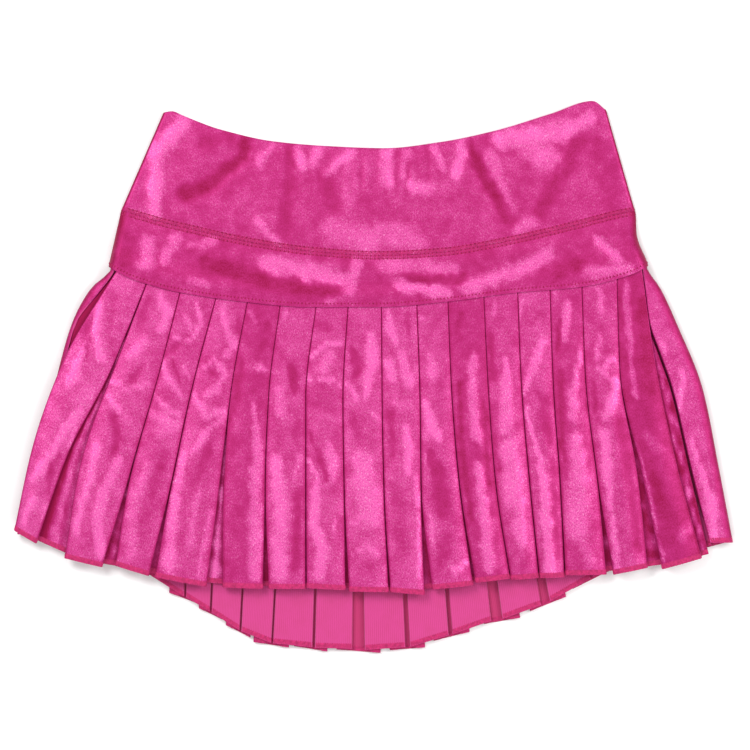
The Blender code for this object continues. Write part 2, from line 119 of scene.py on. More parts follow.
# The back's boxes, whose folds run straight: sides at the seam and at the hem, the hem corners'
# heights, and where the two returns under the box end at the hem.
BackBox = namedtuple(
    "BackBox", "seam_left seam_right hem_left hem_right y_left y_right inner_left inner_right"
)
BACK_BOXES = (
    BackBox(-197.5, -173.0, -250.0, -204.0, -116.0, -130.0, -222.0, -218.0),
    BackBox(-173.0, -148.0, -200.0, -166.0, -132.0, -142.5, -184.0, -182.0),
    BackBox(-148.0, -123.5, -151.5, -133.0, -159.5, -166.5, -141.0, -139.0),
    BackBox(-123.5, -99.0, -129.5, -113.0, -171.0, -179.0, -122.0, -120.0),
    BackBox(-99.0, -74.0, -109.5, -92.0, -183.5, -192.5, -100.0, -98.0),
    BackBox(-74.0, -49.5, -89.0, -63.5, -196.0, -200.0, -76.5, -74.5),
    BackBox(-49.5, -25.0, -59.0, -35.0, -199.0, -203.0, -46.0, -43.5),
    BackBox(-25.0, 0.0, -27.5, 4.5, -201.5, -204.0, -16.5, -6.5),
    BackBox(0.0, 24.5, 12.0, 37.5, -202.0, -200.0, 23.0, 27.0),
    BackBox(24.5, 49.0, 44.5, 70.5, -195.0, -188.5, 55.0, 58.5),
    BackBox(49.0, 73.5, 82.0, 108.0, -182.5, -178.0, 86.5, 95.5),
    BackBox(73.5, 98.5, 116.0, 142.0, -173.0, -162.5, 123.5, 130.5),
    BackBox(98.5, 123.0, 147.5, 176.0, -156.5, -142.5, 160.0, 162.5),
    BackBox(123.0, 147.5, 180.5, 205.5, -141.0, -133.5, 192.0, 194.5),
    BackBox(147.5, 172.5, 210.0, 237.0, -132.0, -127.5, 222.0, 224.5),
    BackBox(172.5, 203.5, 241.0, 265.5, -127.5, -122.0, 250.0, 254.0),
)
INNER_RISE = 1.5  # the faces between the boxes end this much higher at the hem
SEAM_INNER = 12.0  # depth of the side boxes' returns at the seam

# The sections down the skirt, at shares of its length: the heights of a pleat's three layers in the
# front and in the back, and how much of its crown a front box has there.
Level = namedtuple("Level", "down front_low front_mid front_top crown back_top back_mid back_low")
LEVELS = (
    Level(0.00, 9.05, 10.55, 12.05, 0.00, 5.05, 3.55, 2.05),
    Level(0.02, 9.05, 10.55, 12.05, 0.00, 5.05, 3.55, 2.05),
    Level(0.09, 8.45, 9.95, 11.45, 0.15, 3.55, 2.05, 0.55),
    Level(0.22, 7.55, 9.05, 10.55, 0.40, 3.55, 2.05, 0.55),
    Level(0.45, 7.55, 9.05, 10.55, 0.70, 3.55, 2.05, 0.55),
    Level(0.72, 7.55, 9.20, 10.90, 0.90, 3.60, 2.05, 0.55),
    Level(1.00, 6.00, 8.30, 11.00, 1.00, 4.00, 2.20, 0.55),
)

# The back wraps round both sides of the front: the side's outline, the free fold of the flap that
# shows from the front, its height, and how far that fold turns down.
Side = namedtuple("Side", "outline flap height turn")
LEFT_SIDE = (
    Side(-193.7, -190.6, 9.3, 1.2),
    Side(-194.6, -192.2, 9.3, 1.2),
    Side(-209.4, -202.5, 9.0, 1.4),
    Side(-223.5, -221.4, 7.9, 0.8),
    Side(-236.5, -232.0, 7.3, 0.5),
    Side(-251.5, -246.5, 7.3, 0.5),
    Side(-264.0, -261.2, 5.9, 0.5),
)
RIGHT_SIDE = (
    Side(201.0, 198.6, 9.3, 1.2),
    Side(201.8, 199.4, 9.3, 1.2),
    Side(211.5, 201.6, 9.6, 1.4),
    Side(224.0, 206.4, 9.8, 1.6),
    Side(243.0, 221.4, 10.0, 2.0),
    Side(254.5, 234.4, 10.0, 2.0),
    Side(265.5, 248.6, 9.6, 2.6),
)
SIDE_CURL = 5.0  # how far in the side fold is round

# Waistband and yoke.
BAND_PUFF = 1.6  # how far the front stands off the back in the middle
YOKE_CURL = 5.5  # how far in its sides are round
YOKE_NIP = 3.0  # how far its right side is drawn in between the two seams
GATHERS, GATHER_DEPTH = 18, 0.35
GATHER_LEFT, GATHER_RIGHT = -68.0, 76.0
GATHER_HEAD, GATHER_FOOT = 0.03, 0.53  # the shares of the waistband's height between which they run

# Broad creases in the front of the waistband: each runs from its head down to its foot, either pressed
# in (a depth below 0) or raised.
Crease = namedtuple("Crease", "head_x head_y foot_x foot_y width depth")
BAND_CREASES = (
    Crease(-92.0, 176.0, -134.0, 136.0, 9.0, -1.1),
    Crease(-160.0, 188.0, -161.0, 124.0, 9.0, 0.5),
    Crease(68.0, 177.0, 102.0, 110.0, 10.0, -1.1),
    Crease(136.0, 190.0, 92.0, 118.0, 13.0, 0.6),
    Crease(2.0, 166.0, -8.0, 100.0, 22.0, 0.5),
)

# Inner shorts: the height of the row at the middle and at the sides, the outer sides, how far each
# leg's inner edge is from the middle, and the height of the back layer.
MIDDLE_X = 3.0
ShortsRow = namedtuple("ShortsRow", "from_line middle_y side_y left right inner height")
SHORTS_ROWS = (
    ShortsRow("seam", -0.5, -0.5, -176.0, 183.0, 0.2, 2.0),
    ShortsRow("edge", 7.0, 7.0, -183.0, 190.0, 0.2, 6.4),
    ShortsRow("edge", -6.0, -6.0, -187.0, 193.0, 0.2, 6.4),
    ShortsRow("edge", -30.0, -30.0, -192.0, 198.0, 0.2, 4.9),
    ShortsRow(None, -30.0, -10.0, -200.0, 206.0, 0.2, 4.9),
    ShortsRow(None, -68.0, -42.0, -207.0, 213.0, 0.2, 4.9),
    ShortsRow(None, -102.0, -66.0, -212.0, 218.0, 7.0, 4.9),
)


def smooth(stations, values, at):
    """The value at a place on a smooth curve through the stations, which doesn't overshoot them."""
    if at <= stations[0]:
        return values[0]
    if at >= stations[-1]:
        return values[-1]
    steps = [b - a for a, b in zip(stations, stations[1:])]
    slopes = [(b - a) / step for a, b, step in zip(values, values[1:], steps)]

    def tangent(i):
        if i in (0, len(slopes)):
            return slopes[min(i, len(slopes) - 1)]
        before, after = slopes[i - 1], slopes[i]
        return 0.0 if before * after <= 0 else 2 * before * after / (before + after)

    k = bisect_right(stations, at) - 1
    u = (at - stations[k]) / steps[k]
    rise = steps[k] * (tangent(k) * u * (1 - u) ** 2 - tangent(k + 1) * u * u * (1 - u))
    return values[k] + (values[k + 1] - values[k]) * u * u * (3 - 2 * u) + rise


def mix(a, b, share):
    return a + (b - a) * share


def clamped(value):
    return min(max(value, 0.0), 1.0)


SHARES = [line.share for line in LINES]


def line_y(name, share):
    return smooth(SHARES, [getattr(line, name) for line in LINES], share)


def share_at(name, x):
    left, right = {"seam": (SEAM_LEFT, SEAM_RIGHT), "edge": (EDGE_LEFT, EDGE_RIGHT)}[name]
    return clamped((x - left) / (right - left))


def line_y_at(name, x):
    return line_y(name, share_at(name, x))


# ---------------------------------------------------------------- sizes of the finer forms

THIRDS = (0.0, 1 / 3, 2 / 3, 1.0)  # the shares of the way down at which FRONT_FOLDS gives its places
SIDE_SEAM = 0.9  # between the middles of the front's side edge and of the flap sewn to it
FOLD_REACH = 0.48  # how far in a pleat's fold is round
FOLD_OPEN = 0.8  # how much of the outer light is painted on a pleat's fold; the rest is painted shade
FOLD_SHADE = 0.45  # how much painted shade darkens a face at the hem, where it turns into its fold
NEARER = 0.39  # how much nearer to each other than in the solids two folds lie at the seam
SEAM_SHOWN = 0.05  # the gap left between the waistband and the yoke once they are sewn
FOLD_ANGLES = tuple(math.radians(angle) for angle in (-62.0, -21.0, 21.0, 62.0))
FACE_POINTS, BACK_FACE_POINTS = 19, 11  # across the face of a front box and of a back one
FRONT_ROWS, BACK_ROWS = 64, 42  # down the front and the back of the skirt
SHORTS_STEPS = 30  # down the shorts, and across each of their layers
SHORTS_HALF = 0.4  # half the thickness of their cloth
LEVEL_DOWNS = [level.down for level in LEVELS]

# The seeds of the waves that make the creases of these places wander. A front box takes five times
# its number.
BAND_SEED, BAND_BACK_SEED, YOKE_SEED, YOKE_BACK_SEED, FLAP_SEED = 41.0, 43.0, 53.0, 57.0, 61.0

# Creases listed for each face: every one is a soft ridge (its lift above 0) or trough (below 0)
# along a line of points, each of them x, y and half the crease's width there. The faces are the fronts
# of the waistband and of the yoke, the front boxes by their number from the left, and the flaps.
class Stroke:
    """One crease: how much it lifts the cloth and its painted light (shade below 0), and the points it runs
    through.
    """

    def __init__(self, lift, *points):
        self.lift = lift
        self.points = points


# Besides lifting and sinking the cloth, every crease paints highlight along a ridge and shade along a trough.
FACE_STROKES = {
    "band": (
        Stroke(0.65, (-141, 189, 6), (-161, 166, 6), (-163, 120, 5)),
        Stroke(0.4, (-75, 172, 3), (-85, 159, 3)),
        Stroke(0.7, (-57, 168, 4.5), (-53, 157, 4.5)),
        Stroke(0.5, (-41, 168, 4.5), (-46, 158, 4.5)),
        Stroke(0.5, (-16, 166, 3.5), (-35, 151, 3.5)),
        Stroke(0.6, (10, 166, 5), (10, 144, 5)),
        Stroke(0.4, (24, 168, 3), (21, 149, 3)),
        Stroke(0.5, (44, 171, 3), (51, 155, 3)),
        Stroke(0.7, (67, 173, 4.5), (61, 152, 4.5)),
        Stroke(0.5, (30, 142, 6), (38, 140, 6)),
        Stroke(0.65, (95, 177, 8), (138, 182, 8), (161, 192, 5)),
        Stroke(0.5, (115, 168, 9), (132, 161, 9)),
        Stroke(0.4, (86, 165, 5), (105, 112, 5)),
        Stroke(0.4, (7, 108, 9), (30, 102, 9)),
        Stroke(0.5, (-86, 116, 3.5), (-73, 101, 3.5)),
        Stroke(0.4, (-29, 108, 9.5), (-1, 100, 9.5)),
        Stroke(0.2, (-18, 157, 6.5), (-21, 122, 6.5)),
        Stroke(0.5, (108, 112, 5), (118, 115, 5)),
        Stroke(-0.8, (-94, 176, 4.5), (-98, 163, 4.5), (-124, 142, 6), (-141, 137, 6)),
        Stroke(-0.4, (-61, 168, 5), (-64, 134, 5), (-67, 108, 6)),
        Stroke(-0.75, (70, 173, 4.5), (84, 145, 4.5), (101, 117, 6)),
        Stroke(-0.5, (152, 177, 6.5), (132, 139, 6.5), (122, 122, 6)),
        Stroke(-0.4, (-107, 179, 5), (-127, 174, 5)),
        Stroke(-0.3, (-37, 146, 7.5), (-28, 128, 7.5)),
        Stroke(-0.2, (167, 168, 9), (178, 131, 9)),
    ),
    "yoke": (
        Stroke(0.6, (-167, 100, 6), (-168, 83, 6)),
        Stroke(0.5, (-147, 102, 5), (-154, 88, 5)),
        Stroke(0.4, (-135, 98, 3.5), (-118, 101, 3.5)),
        Stroke(0.7, (-78, 85, 7.5), (-21, 72, 7.5)),
        Stroke(0.6, (-13, 85, 4.5), (-18, 63, 4.5)),
        Stroke(0.5, (-33, 58, 3.5), (-18, 63, 3.5)),
        Stroke(0.7, (21, 68, 5), (53, 62, 5)),
        Stroke(0.5, (7, 84, 6), (58, 80, 6)),
        Stroke(0.6, (68, 66, 6), (112, 81, 6), (129, 91, 6)),
        Stroke(0.6, (166, 101, 3.5), (181, 87, 3.5)),
        Stroke(0.5, (158, 77, 5), (188, 80, 5)),
        Stroke(0.4, (-135, 71, 3.5), (-124, 70, 3.5)),
        Stroke(-0.6, (-124, 85, 6), (-77, 69, 6), (-27, 63, 5)),
        Stroke(-0.5, (27, 74, 4.5), (64, 73, 4.5)),
        Stroke(-0.4, (138, 78, 6), (152, 85, 6)),
        Stroke(-0.3, (-182, 102, 6), (-184, 85, 6)),
    ),
    1: (
        Stroke(0.6, (-202, 53, 2.5), (-206, 34, 3), (-201, 12, 2.5)),
        Stroke(0.5, (-213, 28, 1.5), (-216, 16, 2), (-221, 3, 5), (-226, -5, 3.5)),
        Stroke(0.25, (-200, -3, 5.5), (-218, -16, 6.5)),
        Stroke(
            0.55, (-217, -24, 2.5), (-227, -36, 3.5), (-237, -53, 2.5), (-245, -66, 4.5), (-252, -75, 3.5),
        ),
        Stroke(0.4, (-221, -37, 1.5), (-224, -51, 1.5)),
        Stroke(0.45, (-252, -91, 3.5), (-260, -106, 3)),
        Stroke(0.35, (-240, -93, 2.5), (-245, -104, 2)),
        Stroke(-0.5, (-208, 44, 2.5), (-213, 31, 3.5), (-213, 18, 2)),
        Stroke(-0.5, (-233, -58, 2.5), (-239, -67, 3.5), (-240, -82, 2)),
        Stroke(-0.3, (-192, 60, 3.5), (-196, 34, 3.5), (-192, 16, 2.5)),
    ),
    2: (
        Stroke(0.55, (-159, 60, 3), (-151, 47, 3.5), (-159, 34, 2.5)),
        Stroke(0.5, (-171, 26, 4.5), (-179, 16, 4.5)),
        Stroke(0.5, (-194, -3, 2), (-183, -8, 2.5), (-167, -5, 2.5)),
        Stroke(0.6, (-196, -13, 1.5), (-190, -24, 2), (-181, -29, 1.5)),
        Stroke(0.5, (-205, -49, 3), (-208, -67, 3.5), (-216, -94, 2.5), (-220, -115, 2.5)),
        Stroke(0.55, (-188, -61, 3), (-199, -83, 4), (-205, -106, 4), (-202, -128, 4)),
        Stroke(-0.4, (-171, 8, 2.5), (-179, -1, 2.5)),
        Stroke(-0.55, (-192, -30, 3.5), (-189, -46, 4), (-194, -58, 2)),
        Stroke(-0.25, (-167, 58, 2.5), (-173, 40, 3.5)),
    ),
    3: (
        Stroke(0.55, (-131, 55, 1.5), (-127, 40, 1.5), (-134, 28, 1.5), (-148, 28, 1.5)),
        Stroke(0.45, (-140, 44, 3), (-135, 38, 2.5)),
        Stroke(0.55, (-157, 10, 2.5), (-151, -3, 3), (-143, -13, 2)),
        Stroke(0.5, (-164, -9, 1.5), (-157, -20, 2), (-143, -29, 1.5)),
        Stroke(0.4, (-141, 7, 1.5), (-136, -3, 1.5)),
        Stroke(0.35, (-165, -27, 3.5), (-144, -35, 3.5), (-157, -41, 4.5)),
        Stroke(0.35, (-167, -64, 3.5), (-178, -94, 4.5), (-179, -131, 4.5)),
        Stroke(-0.5, (-149, 12, 1.5), (-143, -3, 1.5)),
        Stroke(-0.4, (-138, 31, 2), (-154, 16, 2.5)),
        Stroke(-0.25, (-154, -58, 4.5), (-165, -86, 3.5)),
    ),
    4: (
        Stroke(0.5, (-112, 52, 2.5), (-109, 34, 3), (-103, 24, 2.5), (-110, 16, 2)),
        Stroke(0.5, (-126, 8, 2), (-119, 14, 1.5), (-111, 5, 2), (-114, -8, 2), (-125, -13, 2)),
        Stroke(0.5, (-133, -13, 3), (-124, -29, 3.5), (-111, -25, 2)),
        Stroke(0.55, (-111, -29, 1.5), (-124, -41, 2.5), (-133, -54, 2.5)),
        Stroke(0.5, (-141, -58, 3.5), (-147, -90, 4), (-152, -139, 4.5)),
        Stroke(0.35, (-130, -86, 2.5), (-136, -122, 3.5)),
        Stroke(0.4, (-121, -98, 1.5), (-130, -146, 1.5)),
        Stroke(-0.45, (-120, 3, 2), (-116, 2, 1.5)),
        Stroke(-0.35, (-122, -51, 3.5), (-133, -80, 3)),
        Stroke(-0.35, (-102, 47, 2.5), (-99, 34, 2)),
    ),
    5: (
        Stroke(0.6, (-85, 8, 3), (-82, 7, 2.5)),
        Stroke(0.35, (-91, 49, 1.5), (-88, 41, 1.5)),
        Stroke(0.5, (-89, -20, 2), (-87, -46, 2.5)),
        Stroke(0.55, (-86, -52, 3.5), (-88, -81, 4.5), (-87, -111, 5.5), (-88, -147, 5)),
        Stroke(-0.35, (-98, 10, 2.5), (-102, -16, 3), (-107, -35, 1.5)),
        Stroke(-0.3, (-78, 39, 2.5), (-83, 20, 2.5)),
    ),
    6: (
        Stroke(0.35, (-65, 49, 1.5), (-67, 41, 1.5)),
        Stroke(0.4, (-70, -8, 3.5), (-69, -26, 4.5)),
        Stroke(0.6, (-72, -61, 4), (-70, -83, 6), (-68, -99, 5), (-70, -125, 6), (-69, -147, 5)),
        Stroke(0.4, (-55, -60, 2.5), (-60, -76, 1.5)),
        Stroke(-0.6, (-62, 8, 3), (-59, -1, 4), (-58, -11, 2.5)),
        Stroke(-0.45, (-56, -83, 3.5), (-57, -111, 4), (-58, -140, 3.5)),
        Stroke(-0.25, (-57, -26, 2.5), (-58, -46, 2.5)),
    ),
    7: (
        Stroke(0.65, (-47, 16, 2), (-38, 22, 2.5), (-25, 26, 2)),
        Stroke(0.5, (-33, 15, 5), (-38, 6, 4)),
        Stroke(0.6, (-49, 0, 1.5), (-35, -2, 2), (-25, -4, 1.5)),
        Stroke(0.6, (-48, -60, 1.5), (-42, -73, 1.5), (-41, -83, 1.5)),
        Stroke(0.5, (-34, -49, 3), (-30, -64, 3.5), (-30, -76, 2)),
        Stroke(0.6, (-43, -83, 3.5), (-44, -108, 4), (-38, -125, 5), (-41, -146, 4)),
        Stroke(0.5, (-29, -106, 1.5), (-30, -114, 1.5)),
        Stroke(-0.5, (-47, -41, 2), (-38, -64, 3), (-35, -76, 1.5)),
        Stroke(-0.3, (-43, 41, 3.5), (-33, 36, 3.5)),
        Stroke(-0.25, (-48, -17, 4), (-30, -23, 4)),
    ),
    8: (
        Stroke(0.6, (-3, 30, 3.5), (-1, 11, 4.5), (-4, -1, 3.5), (-6, -16, 2)),
        Stroke(0.5, (-20, -4, 1.5), (-16, -8, 1.5), (-14, -16, 1.5)),
        Stroke(0.45, (0, -27, 2), (3, -29, 1.5)),
        Stroke(0.5, (-10, -60, 6.5), (-5, -81, 9), (-2, -103, 7.5)),
        Stroke(0.45, (-16, -108, 2), (-4, -99, 2.5)),
        Stroke(0.45, (-14, -130, 1.5), (-5, -125, 2), (4, -131, 1.5)),
        Stroke(-0.65, (-16, 21, 3), (-12, 9, 4.5), (-14, 0, 3)),
        Stroke(-0.3, (-16, -29, 3.5), (-10, -46, 3.5)),
        Stroke(-0.25, (-4, -140, 4), (-10, -144, 3.5)),
    ),
    9: (
        Stroke(0.5, (11, 49, 2.5), (11, 37, 3.5), (16, 27, 2.5)),
        Stroke(0.6, (11, 11, 3.5), (13, 0, 4)),
        Stroke(0.55, (21, 16, 3.5), (24, 3, 3.5), (25, -5, 4)),
        Stroke(0.35, (26, -22, 3.5), (15, -20, 1.5)),
        Stroke(0.6, (23, -36, 2.5), (25, -52, 4), (25, -70, 2.5)),
        Stroke(0.4, (31, -74, 2), (32, -96, 2)),
        Stroke(0.5, (33, -101, 1.5), (33, -147, 1.5)),
        Stroke(-0.4, (25, 46, 2.5), (25, 33, 2)),
        Stroke(-0.45, (12, -26, 3.5), (14, -55, 3)),
        Stroke(-0.25, (16, -81, 5), (21, -125, 5)),
    ),
    10: (
        Stroke(0.4, (34, 44, 1.5), (38, 42, 1.5)),
        Stroke(0.4, (41, 16, 3.5), (44, 0, 3.5)),
        Stroke(0.6, (38, -19, 3.5), (43, -36, 5), (49, -46, 2.5)),
        Stroke(0.6, (35, -43, 1.5), (41, -41, 1.5)),
        Stroke(0.4, (38, -57, 1.5), (38, -62, 1.5)),
        Stroke(-0.55, (43, -57, 4), (49, -79, 6.5), (52, -99, 6)),
        Stroke(0.7, (59, -144, 2), (68, -136, 2.5)),
        Stroke(0.35, (41, -101, 1.5), (44, -125, 1.5)),
        Stroke(-0.3, (54, -122, 5), (49, -140, 3.5)),
        Stroke(-0.25, (47, 44, 4), (40, 30, 3.5)),
    ),
    11: (
        Stroke(0.6, (74, 16, 3), (72, -5, 3.5), (74, -26, 4), (76, -46, 3.5)),
        Stroke(0.65, (76, -64, 3.5), (81, -93, 4), (83, -118, 4.5), (85, -140, 5)),
        Stroke(-0.35, (65, 47, 2), (62, 33, 2)),
        Stroke(-0.5, (63, -3, 2), (65, -55, 2.5), (72, -103, 2.5)),
        Stroke(-0.4, (81, -17, 1.5), (85, -81, 2)),
    ),
    12: (
        Stroke(0.35, (88, 56, 1.5), (89, 46, 1.5)),
        Stroke(0.55, (97, 14, 1.5), (98, -6, 4), (98, -25, 5), (97, -37, 5.5)),
        Stroke(0.55, (100, -50, 6), (102, -71, 8), (102, -91, 7)),
        Stroke(0.5, (108, -91, 3.5), (107, -109, 5.5), (110, -124, 3.5)),
        Stroke(-0.45, (86, 36, 2.5), (88, 0, 2.5)),
        Stroke(-0.35, (89, -43, 2), (92, -68, 1.5)),
        Stroke(-0.3, (113, -130, 2.5), (110, -143, 2.5)),
    ),
    13: (
        Stroke(0.45, (110, 58, 1.5), (108, 44, 1.5)),
        Stroke(0.6, (125, 28, 3), (120, 14, 3.5), (113, -5, 2.5), (111, -12, 1.5)),
        Stroke(0.6, (112, -19, 1.5), (114, -31, 1.5), (119, -48, 2), (123, -62, 2.5)),
        Stroke(0.65, (123, -65, 2.5), (126, -87, 3), (127, -109, 3.5), (130, -143, 4)),
        Stroke(-0.45, (123, -12, 3.5), (127, -31, 5.5), (130, -46, 3.5)),
        Stroke(-0.4, (132, -60, 2.5), (134, -99, 3), (136, -133, 2)),
        Stroke(-0.3, (116, 40, 2.5), (125, 48, 2.5)),
    ),
    14: (
        Stroke(0.35, (133, 64, 1.5), (135, 62, 1.5)),
        Stroke(0.55, (143, 55, 3), (142, 42, 3.5), (140, 27, 2.5)),
        Stroke(0.6, (153, 20, 1.5), (149, 2, 2.5), (147, -15, 4), (147, -31, 3.5)),
        Stroke(0.6, (149, -45, 4), (151, -68, 7), (151, -91, 8.5), (150, -113, 8)),
        Stroke(0.3, (154, -119, 4.5), (159, -136, 4.5)),
        Stroke(-0.55, (138, 42, 2), (135, 20, 2.5)),
        Stroke(-0.5, (138, 3, 2.5), (139, -45, 2.5), (140, -62, 1.5)),
        Stroke(-0.35, (158, 0, 1.5), (158, -25, 1.5)),
    ),
    15: (
        Stroke(0.4, (167, 65, 2), (168, 47, 2)),
        Stroke(0.5, (166, 30, 2), (165, 12, 1.5)),
        Stroke(0.55, (170, 9, 1.5), (180, 12, 1.5)),
        Stroke(0.6, (165, 8, 1.5), (172, 3, 2), (179, -4, 3), (176, -17, 4), (171, -31, 3)),
        Stroke(0.6, (170, -40, 3.5), (172, -62, 4), (173, -77, 3.5), (175, -96, 2.5)),
        Stroke(0.6, (176, -102, 2), (178, -121, 2.5), (180, -143, 2.5)),
        Stroke(-0.4, (172, 20, 2.5), (176, 18, 2)),
        Stroke(-0.5, (162, -5, 2), (164, -25, 2)),
        Stroke(-0.4, (182, -31, 3), (187, -62, 4), (192, -99, 3.5), (195, -127, 2.5)),
    ),
    16: (
        Stroke(0.55, (187, 70, 2.5), (186, 53, 3), (189, 28, 2.5), (190, 6, 2.5), (194, -14, 2)),
        Stroke(0.25, (201, -42, 4.5), (210, -53, 4.5)),
        Stroke(0.55, (192, -45, 1.5), (203, -81, 1.5), (213, -135, 1.5)),
        Stroke(0.3, (227, -116, 3.5), (235, -112, 3)),
        Stroke(-0.35, (198, 56, 4.5), (201, 22, 5.5), (203, -9, 4.5)),
        Stroke(-0.35, (207, -77, 5.5), (218, -107, 6)),
    ),
    "side": (
        Stroke(0.6, (227, 3, 2), (228, -8, 2.5), (225, -25, 1.5)),
        Stroke(0.5, (212, 27, 1.5), (216, 16, 1.5)),
        Stroke(0.6, (235, -48, 1.5), (240, -65, 2), (246, -82, 3), (251, -102, 4), (251, -119, 3)),
        Stroke(-0.25, (215, 62, 4.5), (221, 37, 3.5)),
        Stroke(0.5, (-199, 77, 2), (-216, 56, 2), (-226, 34, 2)),
    ),
}

# Painted light on each front box all over (shade below 0), from the left one to the right one, and the flaps.
BOX_SHINES = (
    0.33, 0.25, 0.15, 0.18, -0.08, 0.15, 0.18, 0.24, 0.24, 0.18, -0.12, 0.09, 0.2, -0.04, 0.1, -0.35,
)
FACE_SHINE = {**dict(enumerate(BOX_SHINES, 1)), "side": 0.25}


# How a crease's outline wanders across and along the garment: how far, in waves of what size, and what
# is added to the seed of the place.
Wave = namedtuple("Wave", "reach size seed")
WAVES_X = (Wave(2.0, 8.0, 0.0), Wave(1.4, 3.5, 2.0))
WAVES_Y = (Wave(2.4, 9.0, 7.0), Wave(1.8, 3.5, 5.0))
UNEVEN = Wave(0.15, 13.0, 3.0)  # how the cloth between the creases rises and sinks, with its painted light
CREASE_BLUNT = 3.4  # how steeply a crease falls off at its sides
FAR = 9.0  # half widths away, where nothing is left of a crease
RIDGE_GLEAM, TROUGH_GLEAM = 1.5, 0.95  # how strongly ridges paint highlight and troughs paint shade
BACK_SHINE, YOKE_SHINE = -0.1, -0.15  # the painted light on the tubes' backs and on the yoke's front all over
TURN_SHADE = 1.3  # how much painted shade darkens the cloth where it turns round a side


def wander(x, y, size, seed):
    """A smooth wave between about -1 and 1, with features of the given size."""
    return noise.noise(Vector((x / size, y / size, seed)))


def nearness(points, x, y):
    """1 on a crease's line, falling off to its sides and past its ends."""
    nearest = FAR
    for head, foot in zip(points, points[1:]):
        run_x, run_y = foot[0] - head[0], foot[1] - head[1]
        along = clamped(((x - head[0]) * run_x + (y - head[1]) * run_y) / (run_x**2 + run_y**2))
        away = math.hypot(x - mix(head[0], foot[0], along), y - mix(head[1], foot[1], along))
        nearest = min(nearest, away / mix(head[2], foot[2], along))
    return math.exp(-(nearest**CREASE_BLUNT))


def creased(strokes, x, y, seed):
    """How strongly the creases rise or sink here. Their outlines wander a little."""
    moved_x = sum((wave.reach * wander(x, y, wave.size, seed + wave.seed) for wave in WAVES_X), x)
    moved_y = sum((wave.reach * wander(x, y, wave.size, seed + wave.seed) for wave in WAVES_Y), y)
    lifts = [stroke.lift * nearness(stroke.points, moved_x, moved_y) for stroke in strokes]
    uneven = UNEVEN.reach * wander(x, y * 0.6, UNEVEN.size, seed + UNEVEN.seed)
    return max(0.0, *lifts) + min(0.0, *lifts) + uneven


def gleamed(total, base):
    """The foil's painted highlight and shade where the creases rise or sink that much."""
    return base + (RIDGE_GLEAM * total if total > 0 else TROUGH_GLEAM * total)


# ---------------------------------------------------------------- shells of cloth


def level_at(down):
    return Level(*[smooth(LEVEL_DOWNS, column, down) for column in zip(*LEVELS)])


# How much nearer to the last box than in the solids the flap at the right lies, down the skirt.
Hug = namedtuple("Hug", "down nearer")
HUGS = (Hug(0.0, 0.6), Hug(0.09, 0.9), Hug(0.22, 1.6), Hug(0.30, 0.5), Hug(0.45, 0.0), Hug(1.0, 0.0))


def side_at(side, down):
    place = Side(*[smooth(LEVEL_DOWNS, column, down) for column in zip(*side)])
    if side is RIGHT_SIDE:
        return place._replace(flap=place.flap - smooth(*zip(*HUGS), down))
    return place


def box_sides(down):
    """The sides of each front box at a share of the way down."""
    edges = []
    for fold in FRONT_FOLDS:
        hem = (fold.hem_left + fold.hem_right) / 2
        line = smooth(THIRDS, (fold.seam, fold.upper, fold.lower, hem), down)
        hem_gap = max(fold.hem_right - fold.hem_left, PARTING)
        gap = smooth(THIRDS, (PARTING, PARTING, max(fold.gap, PARTING), hem_gap), down)
        near = gap / 2 - NEARER * (1 - down) ** 0.7
        edges.append((line - near, line + near))
    return [(left[1], right[0]) for left, right in zip(edges, edges[1:])]


def section_steps(points, loop):
    """For each point of a section, the step to its left that keeps a wall's thickness even."""
    flat = points[:, [0, 2]]
    runs = np.diff(np.vstack([flat, flat[:1]]) if loop else flat, axis=0)
    runs /= np.maximum(np.linalg.norm(runs, axis=1, keepdims=True), 1e-9)
    normals = np.stack([-runs[:, 1], runs[:, 0]], axis=1)
    before = np.roll(normals, 1, axis=0) if loop else np.vstack([normals[:1], normals])
    after = normals if loop else np.vstack([normals, normals[-1:]])
    spread = np.maximum(1 + (before * after).sum(axis=1, keepdims=True), 0.35)
    steps = (before + after) / spread
    return np.stack([steps[:, 0], np.zeros(len(steps)), steps[:, 1]], axis=1)


class Sheet:
    """Rows of points (in mm) through the middle of a cloth, with its half thickness to each side."""

    def __init__(self, middle, over, under, loop=False, shine=None):
        self.middle = np.array(middle, float)
        self.loop = loop
        steps = np.array([section_steps(row, loop) for row in self.middle])
        self.over = self.middle + steps * np.asarray(over, float).reshape(*steps.shape[:2], 1)
        self.under = self.middle - steps * np.asarray(under, float).reshape(*steps.shape[:2], 1)
        # shine holds the painted highlight (above 0) and painted shade (below 0) at each point
        self.shine = np.zeros(steps.shape[:2]) if shine is None else np.array(shine, float)


def grid_faces(rows, columns, loop):
    """Rows of corner numbers for the two sides of a shell and for its rims, all facing out."""
    last = columns if loop else columns - 1
    here = np.arange(rows * columns).reshape(rows, columns)
    right = np.roll(here, -1, axis=1)
    under = rows * columns
    a, b = here[:-1, :last].ravel(), right[:-1, :last].ravel()
    d, c = here[1:, :last].ravel(), right[1:, :last].ravel()
    faces = [np.stack([a, d, c, b], 1), np.stack([a, b, c, d], 1) + under]
    top, top_right = here[0, :last], right[0, :last]
    foot, foot_right = here[-1, :last], right[-1, :last]
    faces.append(np.stack([top, top_right, top_right + under, top + under], 1))
    faces.append(np.stack([foot, foot + under, foot_right + under, foot_right], 1))
    if not loop:
        upper, lower = here[:-1, 0], here[1:, 0]
        faces.append(np.stack([upper, upper + under, lower + under, lower], 1))
        upper, lower = here[:-1, -1], here[1:, -1]
        faces.append(np.stack([upper, lower, lower + under, upper + under], 1))
    return faces


